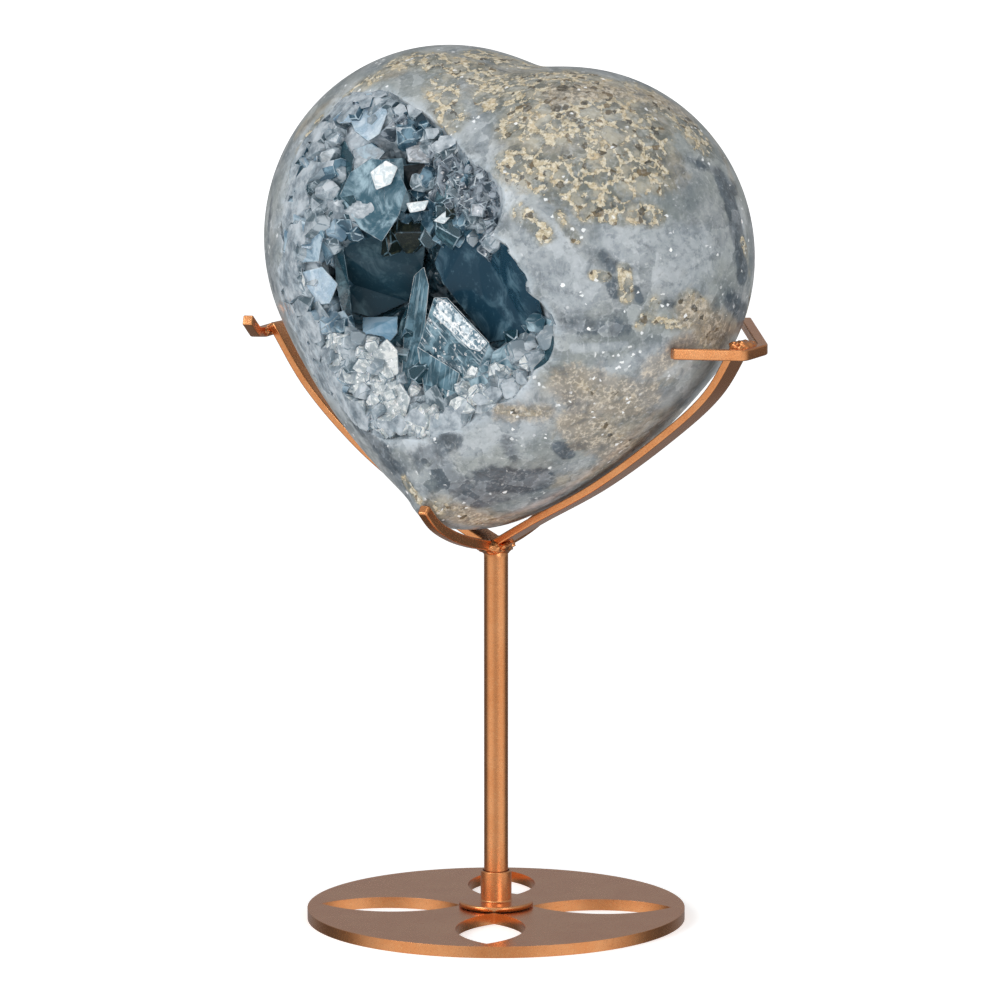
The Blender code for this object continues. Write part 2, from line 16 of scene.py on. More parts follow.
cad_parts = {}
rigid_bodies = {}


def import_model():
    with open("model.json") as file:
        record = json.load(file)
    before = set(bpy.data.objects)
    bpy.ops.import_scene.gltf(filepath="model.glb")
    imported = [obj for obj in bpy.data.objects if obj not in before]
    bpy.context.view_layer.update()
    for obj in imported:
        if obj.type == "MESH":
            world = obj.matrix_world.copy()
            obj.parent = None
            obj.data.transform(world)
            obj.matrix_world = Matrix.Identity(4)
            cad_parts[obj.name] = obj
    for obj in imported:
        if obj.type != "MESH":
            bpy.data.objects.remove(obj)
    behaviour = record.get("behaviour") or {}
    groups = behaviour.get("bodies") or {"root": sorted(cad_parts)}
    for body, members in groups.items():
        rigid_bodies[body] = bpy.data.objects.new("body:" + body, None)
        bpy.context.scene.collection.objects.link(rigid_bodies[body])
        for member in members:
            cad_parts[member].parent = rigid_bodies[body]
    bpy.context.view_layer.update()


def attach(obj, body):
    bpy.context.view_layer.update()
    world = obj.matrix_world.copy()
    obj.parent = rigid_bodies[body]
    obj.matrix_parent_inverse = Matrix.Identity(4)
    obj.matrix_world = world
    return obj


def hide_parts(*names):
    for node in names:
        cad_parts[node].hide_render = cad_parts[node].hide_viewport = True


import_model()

MM = 0.001

# Camera: heading, height and distance from the base plate, and where the plate appears
VIEW_YAW = math.radians(31.0)
VIEW_ELEVATION = math.radians(12.1)
VIEW_DISTANCE = 1200.0
VIEW_SIZE = 1000.0
PLATE_SEEN_AT = (496.0, 907.0)
PLATE_SEEN_WIDTH = 377.0
SENSOR_MM = 36.0

# Stand, as in the solids
PLATE_RADIUS = 50.0
PLATE_THICKNESS = 3.0
SLOT_LENGTH = 36.8
SLOT_WIDTH = 18.1
SLOT_CENTRE_RADIUS = 28.0
SLOT_TURN = math.radians(28.0)
FLANGE_RADIUS = 9.8
FLANGE_BOTTOM = 3.3
FLANGE_TOP = 4.5
COLLAR_RADIUS = 4.1
COLLAR_TOP = 12.6
POST_RADIUS = 3.2
POST_TOP = 98.2
STRIP_WIDTH = 8.0
STRIP_THICKNESS = 2.0
RIGHT_ARM_LINE = [(0.2, 100.8), (12.0, 107.6), (30.8, 117.8), (49.6, 131.0), (63.4, 143.0),
                  (71.8, 156.2)]
LEFT_ARM_LINE = [(-0.2, 100.8), (-12.0, 106.6), (-24.0, 113.6), (-40.4, 124.9), (-56.0, 139.6),
                 (-67.2, 155.4)]
ROD_SIDE = 2.8
RIGHT_CLAW_PATH = [(62.6, -18.6, 154.1), (75.2, -4.6, 153.2), (75.6, 5.5, 154.0),
                   (58.0, 29.5, 158.4)]
LEFT_CLAW_PATH = [(-66.0, -18.0, 157.2), (-68.6, -10.5, 153.4), (-71.0, -3.6, 152.8),
                  (-71.2, 5.5, 153.6), (-56.0, 27.5, 158.0)]
PRONG_LINE = [(4.4, 99.9), (13.2, 101.6), (22.2, 104.2), (30.4, 107.9), (36.2, 112.7)]

# Heart, as in the solids
HEART_PLACE = Vector((2.5, 0.0, 163.7))
HEART_ROLL = math.radians(6.3)
LOBE_SPACING = 18.5
LEFT_LOBE = {"radius": 50.4, "height": 13.8}
RIGHT_LOBE = {"radius": 48.4, "height": 14.4}
LOBE_DEPTH = 43.5
TIP_OFFSET = 0.5
TIP_DROP = 48.0
TIP_RADIUS = 10.0
TIP_DEPTH = 33.0
SIDE_BULGE = 4.4
FACE_BULGE = 3.0
CLEFT_SOFTNESS = 4.0
ROW_STEPS = 24
HEART_CELLS = 104

# Hollow, as in the solids: dug along one line. A place in it is given as millimetres across and up
# from the heart's place, seen along that line, and a depth along it under the polish
DIG_YAW = math.radians(32.0)
DIG_PITCH = math.radians(-4.0)
OPENING_CENTRE = (-23.0, 10.0)
OPENING_EDGE = [(-45.5, 47.5), (-52.5, 39.0), (-56.0, 29.0), (-57.5, 16.0), (-58.5, 3.0), (-55.0, -7.5),
                (-50.0, -18.0), (-43.5, -26.0), (-38.0, -32.5), (-29.0, -35.5), (-19.5, -34.0),
                (-8.5, -29.5), (2.0, -22.5), (10.0, -15.0), (13.0, -7.0), (10.0, -1.5), (6.0, 2.5),
                (4.0, 8.5), (0.0, 13.0), (-3.5, 17.0), (0.0, 23.5), (-2.0, 30.0), (-9.5, 36.5),
                (-15.0, 42.0), (-22.0, 49.5), (-30.5, 54.5), (-40.0, 54.5)]
RIM_DEPTH = 4.5
RIM_WIDTH = 4.3
INNER_WIDTH = 10.0
BOWLS = [((-32.5, 4.5), 12.0, 27.0), ((-5.0, 5.0), 13.5, 24.0), ((-23.5, 16.0), 9.0, 14.0),
         ((-17.0, -10.5), 12.0, 13.0), ((-24.0, 30.5), 8.5, 5.0), ((-35.0, 35.0), 9.0, 3.0),
         ((3.0, -10.5), 8.0, 5.0)]
LUMP_HEIGHT = 1.2
LUMP_WAVES = (((0.31, 0.0), 0.7), ((0.0, 0.27), 1.2), ((0.21, 0.53), 0.0))
CRUMB_HEIGHT = 0.5
CRUMB_SIZE = 1.6
EDGE_RAGGED = 1.5
EDGE_HEIGHT = 5.0
BED_THICKNESS = 3.5
START_BEFORE = 85.0
WALK_STEPS = 36
HOLLOW_TURNS = 200
HOLLOW_RINGS = 60
BED_GRID = {"turns": 120, "rings": 30, "crumbs": False}
LINER_LIFT = 0.05
POLISH_INSET = 0.03


def srgb(red, green, blue):
    """A colour as seen on a screen, in the linear values that shaders take."""
    return tuple((v / 255 / 12.92) if v <= 10 else ((v / 255 + 0.055) / 1.055) ** 2.4
                 for v in (red, green, blue)) + (1.0,)


# ---------------------------------------------------------------- view

def view_axes():
    """Eye, forward, right and up of the camera, and its focal length in view units."""
    back = np.array([math.sin(VIEW_YAW) * math.cos(VIEW_ELEVATION),
                     -math.cos(VIEW_YAW) * math.cos(VIEW_ELEVATION), math.sin(VIEW_ELEVATION)])
    target = np.array([0.0, 0.0, PLATE_THICKNESS])
    eye = target + back * VIEW_DISTANCE
    rough = PLATE_SEEN_WIDTH / (2 * PLATE_RADIUS) * VIEW_DISTANCE
    across = math.atan((PLATE_SEEN_AT[0] - VIEW_SIZE / 2) / rough)
    down = (PLATE_SEEN_AT[1] - VIEW_SIZE / 2) / rough
    heading = math.atan2(-back[1], -back[0]) + across
    pitch = math.asin(-back[2]) + math.atan(down * math.cos(across))
    forward = np.array([math.cos(pitch) * math.cos(heading), math.cos(pitch) * math.sin(heading),
                        math.sin(pitch)])
    right = np.array([math.sin(heading), -math.cos(heading), 0.0])
    focal = PLATE_SEEN_WIDTH / (2 * PLATE_RADIUS) * ((target - eye) @ forward)
    return eye, forward, right, np.cross(right, forward), focal


EYE, FORWARD, RIGHT, UP, FOCAL = view_axes()


def rays(points):
    """Unit directions from the eye through view points, one row each."""
    points = np.atleast_2d(np.array(points, float))
    half = VIEW_SIZE / 2
    ray = (FORWARD + (points[:, 0:1] - half) / FOCAL * RIGHT - (points[:, 1:2] - half) / FOCAL * UP)
    return ray / np.linalg.norm(ray, axis=1)[:, None]


def build_camera():
    data = bpy.data.cameras.new("view")
    data.sensor_width = SENSOR_MM
    data.lens = FOCAL / VIEW_SIZE * SENSOR_MM
    data.clip_start = 0.1
    data.clip_end = 400.0
    camera = bpy.data.objects.new("view", data)
    bpy.context.scene.collection.objects.link(camera)
    turn = Matrix((Vector(RIGHT), Vector(UP), Vector(-FORWARD))).transposed()
    camera.matrix_world = Matrix.Translation(Vector(EYE) * MM) @ turn.to_4x4()
    bpy.context.scene.camera = camera


# ---------------------------------------------------------------- heart form

def ray_leaves_ellipsoid(directions, centre, radius, depth):
    """Distance along each direction, from the origin, to the far side of an ellipsoid."""
    squeeze = np.array([1.0, radius / depth, 1.0])
    ray = directions * squeeze
    start = -centre * squeeze
    a = (ray * ray).sum(axis=1)
    b = ray @ start
    c = start @ start - radius * radius
    inside_root = b * b - a * c
    return np.where(inside_root > 0, (-b + np.sqrt(np.maximum(inside_root, 0))) / a, 0)


def heart_radius(directions):
    """The heart's surface as a distance from its middle, for each unit direction."""
    sides = []
    for sign, lobe in ((-1, LEFT_LOBE), (1, RIGHT_LOBE)):
        top = np.array([sign * LOBE_SPACING, 0.0, lobe["height"]])
        tip = np.array([TIP_OFFSET, 0.0, -TIP_DROP])
        reach = np.zeros(len(directions))
        for t in np.linspace(0.0, 1.0, ROW_STEPS):
            swell = 4.0 * t * (1.0 - t)
            radius = lobe["radius"] + (TIP_RADIUS - lobe["radius"]) * t + SIDE_BULGE * swell
            depth = LOBE_DEPTH + (TIP_DEPTH - LOBE_DEPTH) * t + FACE_BULGE * swell
            centre = top + (tip - top) * t
            reach = np.maximum(reach, ray_leaves_ellipsoid(directions, centre, radius, depth))
        sides.append(reach)
    left, right = sides
    return 0.5 * (left + right + np.sqrt((left - right) ** 2 + CLEFT_SOFTNESS ** 2))


HEART_FRAME = Matrix.Translation(HEART_PLACE) @ Matrix.Rotation(HEART_ROLL, 4, "Y")
HEART_TURN = np.array(HEART_FRAME.to_3x3())
HEART_AT = np.array(HEART_PLACE)


def outside_heart(points):
    """How far each point is outside the heart's surface, measured from its middle."""
    local = (points - HEART_AT) @ HEART_TURN
    distance = np.linalg.norm(local, axis=1)
    return distance - heart_radius(local / distance[:, None])


def walk_to_stone(start, ways, furthest):
    """Distance from each start to the heart's front, along unit ways."""
    walked = np.zeros(len(start))
    nearest = np.full(len(start), furthest)
    best = walked.copy()
    for _ in range(WALK_STEPS):
        gap = outside_heart(start + ways * walked[:, None])
        closer = np.abs(gap) < nearest
        nearest = np.where(closer, np.abs(gap), nearest)
        best = np.where(closer, walked, best)
        walked = np.minimum(walked + gap * 0.85, furthest)
    return best


def on_stone(view_points, depth=0.0):
    """Points a depth behind the heart's front, along the view through each view point."""
    ways = rays(view_points)
    start = EYE + ways * ((HEART_AT - EYE) @ FORWARD - START_BEFORE)
    return start + ways * (walk_to_stone(start, ways, START_BEFORE + 20.0) + depth)[:, None]


def stone_point(x, y, depth=0.0):
    """One point a depth behind the heart's front, along the view through a view point."""
    return on_stone([(x, y)], depth)[0]


DIG_WAY = np.array([-math.sin(DIG_YAW) * math.cos(DIG_PITCH), math.cos(DIG_YAW) * math.cos(DIG_PITCH),
                    math.sin(DIG_PITCH)])
DIG_ACROSS = np.array([math.cos(DIG_YAW), math.sin(DIG_YAW), 0.0])
DIG_UP = np.cross(DIG_ACROSS, DIG_WAY)


def dug_points(places, depths):
    """Points at depths under the heart's front, for places across and up."""
    line = HEART_AT + places[:, 0:1] * DIG_ACROSS + places[:, 1:2] * DIG_UP - DIG_WAY * START_BEFORE
    ways = np.tile(DIG_WAY, (len(places), 1))
    return line + DIG_WAY * (walk_to_stone(line, ways, 2 * START_BEFORE) + depths)[:, None]


def dig_places(points):
    """The places across and up of points."""
    return np.stack([(points - HEART_AT) @ DIG_ACROSS, (points - HEART_AT) @ DIG_UP], axis=1)


def from_opening_edge(places):
    """Distance of each place from the opening's edge, less than 0 beyond it."""
    offset = places - OPENING_CENTRE
    edge = np.array(OPENING_EDGE) - OPENING_CENTRE
    angles = np.arctan2(edge[:, 1], edge[:, 0])
    order = np.argsort(angles)
    around = angles[order]
    way = np.arctan2(offset[:, 1], offset[:, 0])
    reach = np.interp(way, np.concatenate([around - 2 * math.pi, around, around + 2 * math.pi]),
                      np.tile(np.linalg.norm(edge, axis=1)[order], 3))
    ragged = [noise.fractal(Vector((math.cos(a), math.sin(a), 0.3)) * 5.0, 0.9, 2.1, 4) for a in way]
    return reach + EDGE_RAGGED * np.array(ragged) - np.linalg.norm(offset, axis=1)


def hollow_depth(places, thickness=0.0, crumbs=True):
    """Depth of the hollow's floor, or of what lies a thickness behind it, less at the edge."""
    inward = from_opening_edge(places)
    rise = np.clip(inward / RIM_WIDTH, -1.0, 1.0)
    depth = np.where(rise > 0, RIM_DEPTH * np.sqrt(np.maximum(rise, 0)), 3.0 * rise)
    inner = np.clip(inward / INNER_WIDTH, 0, 1) ** 0.6
    for middle, radius, extra in BOWLS:
        gap = np.linalg.norm(places - middle, axis=1) / radius
        depth = depth + extra * np.exp(-gap ** 3) * inner
    first, second, third = [np.sin(places @ np.array(wave) + start) for wave, start in LUMP_WAVES]
    lumps = LUMP_HEIGHT * (first * second + 0.5 * third)
    if crumbs:
        crumbled = [noise.fractal(Vector((u / CRUMB_SIZE, v / CRUMB_SIZE, 3.0)), 0.9, 2.0, 3)
                    for u, v in places]
        lumps = lumps + CRUMB_HEIGHT * np.array(crumbled)
    return depth + (lumps + thickness) * np.clip(rise, 0, 1)


# ---------------------------------------------------------------- mesh helpers

def new_piece(name, mesh, material=None):
    """An object for a mesh, in the scene."""
    made = bpy.data.objects.new(name, mesh)
    bpy.context.scene.collection.objects.link(made)
    if material:
        mesh.materials.clear()
        mesh.materials.append(material)
    return made


def mesh_from_bmesh(name, shape):
    bmesh.ops.scale(shape, vec=(MM,) * 3, verts=shape.verts)
    bmesh.ops.recalc_face_normals(shape, faces=shape.faces)
    mesh = bpy.data.meshes.new(name)
    shape.to_mesh(mesh)
    shape.free()
    return mesh


def mesh_points(mesh):
    """A mesh's points in mm."""
    points = np.zeros(len(mesh.vertices) * 3)
    mesh.vertices.foreach_get("co", points)
    return points.reshape(-1, 3) / MM


def add_field(mesh, name, values):
    layer = mesh.attributes.new(name, "FLOAT", "POINT")
    layer.data.foreach_set("value", np.asarray(values, np.float32))


def shade(faces, smooth=True):
    for face in faces:
        face.use_smooth = smooth


def baked(made):
    """Applies an object's modifiers into its mesh."""
    bpy.context.view_layer.update()
    graph = bpy.context.evaluated_depsgraph_get()
    mesh = bpy.data.meshes.new_from_object(made.evaluated_get(graph), preserve_all_data_layers=True,
                                           depsgraph=graph)
    made.modifiers.clear()
    made.data = mesh
    return made


def shade_by_faces(made):
    shade(made.data.polygons)
    made.modifiers.new("Normals", "WEIGHTED_NORMAL").keep_sharp = False
    return baked(made)


def cut(made, operation, other=None, group=None):
    modifier = made.modifiers.new(operation.title(), "BOOLEAN")
    modifier.operation = operation
    modifier.solver = "MANIFOLD"
    modifier.material_mode = "TRANSFER"
    if group:
        modifier.operand_type = "COLLECTION"
        modifier.collection = group
    else:
        modifier.object = other


def discard(*pieces):
    for made in pieces:
        bpy.data.objects.remove(made)


def skin(shape, rings, closed=False):
    """Faces between loops of points: round and round if closed, else with a cap at each end."""
    rings = [[shape.verts.new(point) for point in ring] for ring in rings]
    for ring, after in zip(rings, rings[1:] + rings[:1] if closed else rings[1:]):
        for index in range(len(ring)):
            following = (index + 1) % len(ring)
            shape.faces.new((ring[index], ring[following], after[following], after[index]))
    if not closed:
        shape.faces.new(rings[0][::-1])
        shape.faces.new(rings[-1])


def smooth_path(points, steps):
    """A smooth curve through points, with a number of steps between each two of them."""
    ends = [points[0] * 2 - points[1]] + list(points) + [points[-1] * 2 - points[-2]]
    path = []
    for index in range(1, len(ends) - 2):
        a, b, c, d = ends[index - 1:index + 3]
        for step in range(steps):
            t = step / steps
            path.append(0.5 * (b * 2 + (c - a) * t + (a * 2 - b * 5 + c * 4 - d) * t ** 2
                               + (b * 3 - a - c * 3 + d) * t ** 3))
    path.append(points[-1])
    return path


def rounded_path(points, radius, steps=8):
    """A path of straight runs whose corners are rounded by arcs of about one radius."""
    path = [points[0]]
    for before, corner, after in zip(points, points[1:], points[2:]):
        to_before = (before - corner).normalized()
        to_after = (after - corner).normalized()
        half_angle = to_before.angle(to_after) / 2
        shorter = min((before - corner).length, (after - corner).length)
        cut = min(radius / math.tan(half_angle), 0.45 * shorter)
        start = corner + to_before * cut
        end = corner + to_after * cut
        for step in range(steps + 1):
            t = step / steps
            path.append(start * (1 - t) ** 2 + corner * 2 * t * (1 - t) + end * t ** 2)
    path.append(points[-1])
    return path


def run_at(path, index):
    """Direction of a path at one of its points."""
    return (path[min(index + 1, len(path) - 1)] - path[max(index - 1, 0)]).normalized()


def rounded_rectangle(width, height, radius, steps=4):
    """Outline of a rectangle with round corners."""
    outline = []
    for sx, sy, start in ((1, 1, 0), (-1, 1, 90), (-1, -1, 180), (1, -1, 270)):
        for step in range(steps + 1):
            angle = math.radians(start + 90 * step / steps)
            outline.append((sx * (width / 2 - radius) + radius * math.cos(angle),
                            sy * (height / 2 - radius) + radius * math.sin(angle)))
    return outline


def sweep(name, path, width, height, radius, material, side=None):
    """A bar along a path. Its width lies along side, or level where side is None."""
    def ending(point, run):
        """Stations that round off an end, from the end on: place, direction, share of the height."""
        return [(point + run * radius * share, run, 1.0 - loss * radius / height)
                for share, loss in ((0.0, 2.0), (0.3, 0.6), (1.0, 0.0))]

    runs = [run_at(path, index) for index in range(len(path))]
    far = [(place, -run, shrink) for place, run, shrink in ending(path[-1], -runs[-1])]
    stations = [(point, run, 1.0) for point, run in zip(path, runs)][1:-1]
    outline = rounded_rectangle(width, height, radius)
    rings = []
    for point, run, shrink in ending(path[0], runs[0]) + stations + far[::-1]:
        across = side if side is not None else run.cross(Vector((0, 0, 1))).normalized()
        across = (across - run * across.dot(run)).normalized()
        up = across.cross(run).normalized()
        inset = 1 - (1 - shrink) * height / width
        rings.append([point + across * u * inset + up * v * shrink for u, v in outline])
    shape = bmesh.new()
    skin(shape, rings)
    return shade_by_faces(new_piece(name, mesh_from_bmesh(name, shape), material))


def lathe(name, profile, segments, material):
    """A turned piece from a closed profile of radii and heights."""
    shape = bmesh.new()
    angles = [2 * math.pi * step / segments for step in range(segments)]
    rings = [[(r * math.cos(angle), r * math.sin(angle), z) for r, z in profile] for angle in angles]
    skin(shape, rings, closed=True)
    return shade_by_faces(new_piece(name, mesh_from_bmesh(name, shape), material))


def blobs(name, beads, material, seed):
    """Welded metal: overlapping lumpy beads given as centre, radii and turn."""
    shape = bmesh.new()
    for number, (centre, radii, turn) in enumerate(beads):
        made = bmesh.ops.create_icosphere(shape, subdivisions=4, radius=1.0)
        rotation = Matrix.Rotation(math.radians(turn), 3, "Y")
        offset = Vector((seed * 3.7 + number * 1.9, 0.0, number * 2.3))
        for vert in made["verts"]:
            direction = vert.co.normalized()
            rough = 1.0 + WELD_LUMPS * noise.fractal(direction * 1.7 + offset, 0.8, 2.2, 4)
            egg = Vector([direction[axis] * radii[axis] * rough for axis in range(3)])
            vert.co = Vector(centre) + rotation @ egg
    made = new_piece(name, mesh_from_bmesh(name, shape), material)
    shade(made.data.polygons)
    return made


# ---------------------------------------------------------------- shader helpers

class Nodes:
    """A node tree, with short calls for its nodes. A colour is a socket or three sRGB values."""

    def __init__(self, tree):
        self.tree = tree

    def put(self, socket, value):
        if isinstance(value, bpy.types.NodeSocket):
            self.tree.links.new(value, socket)
        elif value is not None:
            socket.default_value = value

    def node(self, kind, inputs=(), **settings):
        """A new node; its inputs are given with their names or numbers."""
        made = self.tree.nodes.new(kind)
        for key, value in settings.items():
            setattr(made, key, value)
        for key, value in dict(inputs).items():
            self.put(made.inputs[key], value)
        return made

    def vector(self, operation, first, second=None, output="Vector"):
        made = self.node("ShaderNodeVectorMath", {0: first, 1: second}, operation=operation)
        return made.outputs[output]

    def math(self, operation, *values, clamp=False):
        made = self.node("ShaderNodeMath", enumerate(values), operation=operation, use_clamp=clamp)
        return made.outputs[0]

    def times(self, first, second, clamp=False):
        return self.math("MULTIPLY", first, second, clamp=clamp)

    def plus(self, first, second):
        return self.math("ADD", first, second)

    def step(self, value, low, high, out_low=0.0, out_high=1.0, kind="SMOOTHSTEP"):
        """Runs from out_low to out_high as the value goes from low to high."""
        made = self.node("ShaderNodeMapRange", {"Value": value, "From Min": low, "From Max": high,
                                                "To Min": out_low, "To Max": out_high},
                         interpolation_type=kind)
        return made.outputs["Result"]

    def ramp(self, value, stops, kind="LINEAR"):
        """A colour, or a grey where the stops have single numbers, by the value."""
        made = self.node("ShaderNodeValToRGB", {"Fac": value})
        ramp = made.color_ramp
        ramp.interpolation = kind
        stops = [(place, srgb(*tone) if isinstance(tone, tuple) else (tone, tone, tone, 1.0))
                 for place, tone in stops]
        ramp.elements[0].position, ramp.elements[0].color = stops[0]
        ramp.elements[1].position, ramp.elements[1].color = stops[-1]
        for place, tone in stops[1:-1]:
            ramp.elements.new(place).color = tone
        return made.outputs["Color"]

    def mix(self, amount, first, second):
        first, second = [srgb(*tone) if isinstance(tone, tuple) else tone for tone in (first, second)]
        return self.node("ShaderNodeMix", {0: amount, 6: first, 7: second}, data_type="RGBA").outputs[2]


class Look(Nodes):
    """A material: patterns by place in mm, and a colour that is painted layer by layer."""

    def __init__(self, name):
        self.material = bpy.data.materials.new(name)
        self.material.use_nodes = True
        super().__init__(self.material.node_tree)
        self.shader = self.tree.nodes["Principled BSDF"]
        self.object_place = self.node("ShaderNodeTexCoord").outputs["Object"]
        self.place = self.vector("MULTIPLY", self.object_place, (1 / MM,) * 3)
        self.colour = None

    def shifted(self, other, amount):
        """The place moved by a pattern's colour, centred on one half, times an amount."""
        centred = self.vector("SUBTRACT", other, (0.5,) * 3)
        return self.vector("ADD", self.place, self.vector("MULTIPLY", centred, (amount,) * 3))

    def along(self, way, size):
        """The place with its lengths along a direction made short, so that patterns run with it."""
        way = np.array(way) / np.linalg.norm(way)
        side = np.cross(way, FORWARD)
        side /= np.linalg.norm(side)
        axes = (way / size, side, np.cross(way, side))
        dots = [self.vector("DOT_PRODUCT", self.place, tuple(axis), "Value") for axis in axes]
        return self.node("ShaderNodeCombineXYZ", enumerate(dots)).outputs[0]

    def distance(self, point, place=None):
        """Distance in mm from a point."""
        return self.vector("DISTANCE", place or self.place, tuple(point), "Value")

    def attribute(self, name):
        return self.node("ShaderNodeAttribute", attribute_name=name).outputs["Fac"]

    def clouds(self, size, detail=4.0, roughness=0.55, place=None, distortion=0.0, output="Fac"):
        made = self.node("ShaderNodeTexNoise", {
            "Vector": place or self.place, "Scale": 1.0 / size, "Detail": detail,
            "Roughness": roughness, "Distortion": distortion})
        return made.outputs[output]

    def cells(self, size, place=None, output="Distance", feature="F1"):
        made = self.node("ShaderNodeTexVoronoi", feature=feature)
        self.put(made.inputs["Vector"], place or self.place)
        self.put(made.inputs["Scale"], 1.0 / size)
        return made.outputs[output]

    def borders(self, size, place):
        """Distance from the nearest border between cells."""
        return self.cells(size, place, feature="DISTANCE_TO_EDGE")

    def chances(self, size, place=None):
        """Three random numbers from 0 to 1 for each cell."""
        return self.node("ShaderNodeSeparateColor", {0: self.cells(size, place, "Color")}).outputs

    def paint(self, mask, colour, amount=None):
        """Lays a colour over the look's colour so far, where the mask says."""
        self.colour = self.mix(mask if amount is None else self.times(mask, amount), self.colour, colour)

    def bump(self, height, strength, distance):
        made = self.node("ShaderNodeBump", {"Height": height, "Strength": strength,
                                            "Distance": distance * MM})
        return made.outputs["Normal"]

    def set(self, **sockets):
        for name, value in sockets.items():
            self.put(self.shader.inputs[name.replace("_", " ")], value)
        return self.material


def copper_look(name="copper_paint_look", worn=0.0):
    """Metallic copper paint with fine flakes, chipped in places."""
    look = Look(name)
    flake = look.chances(0.2)
    fine = look.clouds(0.6, 2.0)
    look.colour = look.mix(look.step(look.clouds(9.0, 3.0), 0.35, 0.7), (232, 152, 92), (240, 166, 108))
    look.paint(look.step(flake[0], 0.86, 1.0, 0.0, 0.5), (244, 190, 136))
    look.paint(look.step(flake[1], 0.88, 1.0, 0.0, 0.4), (168, 100, 58))
    look.paint(look.step(look.clouds(2.6, 5.0, 0.7), 0.725 - worn, 0.745 - worn), (84, 58, 42))
    height = look.plus(look.times(fine, 0.35), look.times(flake[2], 0.12))
    return look.set(Base_Color=look.colour, Metallic=1.0, Coat_Weight=0.5, Coat_Roughness=0.3,
                    Roughness=look.step(fine, 0.3, 0.7, 0.20, 0.28),
                    Normal=look.bump(height, 0.4, 0.08))


# ---------------------------------------------------------------- polished stone

# Patches of the surface as seen: two view points, radius in mm, strength
PATCHES = {
    "veins": [
        (510, 88, 605, 92, 9.5, 1), (530, 118, 640, 135, 9, 1), (515, 165, 600, 190, 6, 0.95),
        (590, 160, 650, 175, 6, 0.85), (585, 212, 655, 216, 3, 0.95), (640, 90, 700, 140, 6, 0.9),
        (405, 60, 475, 72, 5.5, 1), (440, 85, 452, 120, 4.5, 0.9), (378, 76, 350, 95, 3, 0.8),
        (320, 118, 300, 150, 2.5, 0.5), (480, 54, 530, 66, 5, 0.95), (580, 385, 630, 400, 3, 0.5),
        (600, 425, 640, 445, 3, 0.6), (690, 305, 715, 340, 4, 1), (624, 270, 626, 298, 1.8, 1),
        (594, 275, 606, 277, 1.4, 1), (500, 410, 545, 412, 1.6, 0.75), (440, 508, 490, 520, 3.5, 0.6),
        (405, 480, 418, 500, 1.8, 0.7), (640, 325, 655, 300, 2, 0.6), (655, 320, 690, 325, 2, 0.6),
        (520, 212, 545, 232, 3, 0.7), (742, 240, 748, 320, 1.6, 0.7), (560, 215, 575, 240, 2, 0.6),
    ],
    "pale": [
        (535, 235, 575, 285, 7, 1), (620, 235, 700, 255, 7, 0.8), (600, 372, 660, 352, 4, 0.6),
        (470, 415, 520, 395, 6, 0.9), (470, 120, 520, 200, 6, 0.6), (640, 380, 690, 360, 4, 0.5),
        (735, 205, 742, 225, 1.6, 1), (520, 430, 560, 400, 6, 0.6), (475, 445, 500, 425, 4, 0.9),
        (395, 440, 440, 452, 2.6, 0.8), (660, 270, 700, 290, 6, 0.5), (455, 432, 470, 452, 2.6, 0.8),
        (575, 348, 625, 345, 1.4, 0.9), (545, 300, 590, 290, 1.4, 0.9),
    ],
    "dark": [
        (722, 180, 735, 218, 3.4, 1.2), (736, 226, 743, 272, 3.2, 1.2), (565, 322, 620, 328, 4.5, 0.5),
        (494, 480, 534, 482, 5.4, 1.1), (505, 440, 515, 460, 3, 0.5), (345, 405, 400, 475, 5, 0.65),
        (300, 330, 325, 380, 4, 0.7), (559, 446, 568, 455, 2, 1), (578, 445, 586, 447, 1.6, 0.9),
        (568, 395, 578, 410, 2, 0.8), (612, 283, 616, 292, 1.8, 1), (635, 290, 640, 300, 1.2, 0.8),
        (272, 200, 274, 290, 2, 0.55), (690, 160, 735, 190, 3, 0.5), (640, 76, 700, 112, 2.2, 0.7),
        (440, 470, 480, 500, 4.5, 0.75), (603, 255, 612, 268, 2.2, 0.6), (420, 460, 450, 440, 4, 0.6),
        (730, 300, 744, 320, 3.4, 0.7), (655, 300, 675, 305, 2.6, 0.4), (500, 500, 560, 495, 3, 0.4),
    ],
    "tan": [
        (500, 80, 640, 110, 10, 0.85), (520, 140, 660, 165, 9, 0.7), (440, 508, 540, 512, 5, 0.9),
        (570, 400, 660, 430, 11, 0.75), (300, 130, 400, 70, 3.5, 0.8), (690, 310, 735, 335, 6, 0.8),
        (560, 480, 660, 450, 5, 0.6), (400, 65, 540, 70, 4, 0.7), (700, 110, 735, 190, 3, 0.5),
        (655, 380, 700, 350, 5, 0.6),
    ],
    "crackle": [
        (575, 385, 640, 400, 6, 1), (580, 425, 640, 450, 6, 1), (650, 370, 690, 340, 4, 0.7),
        (455, 512, 530, 518, 3.5, 0.9), (500, 412, 545, 412, 3, 0.7), (560, 95, 680, 110, 6, 0.6),
        (690, 310, 725, 340, 4, 0.9),
    ],
}
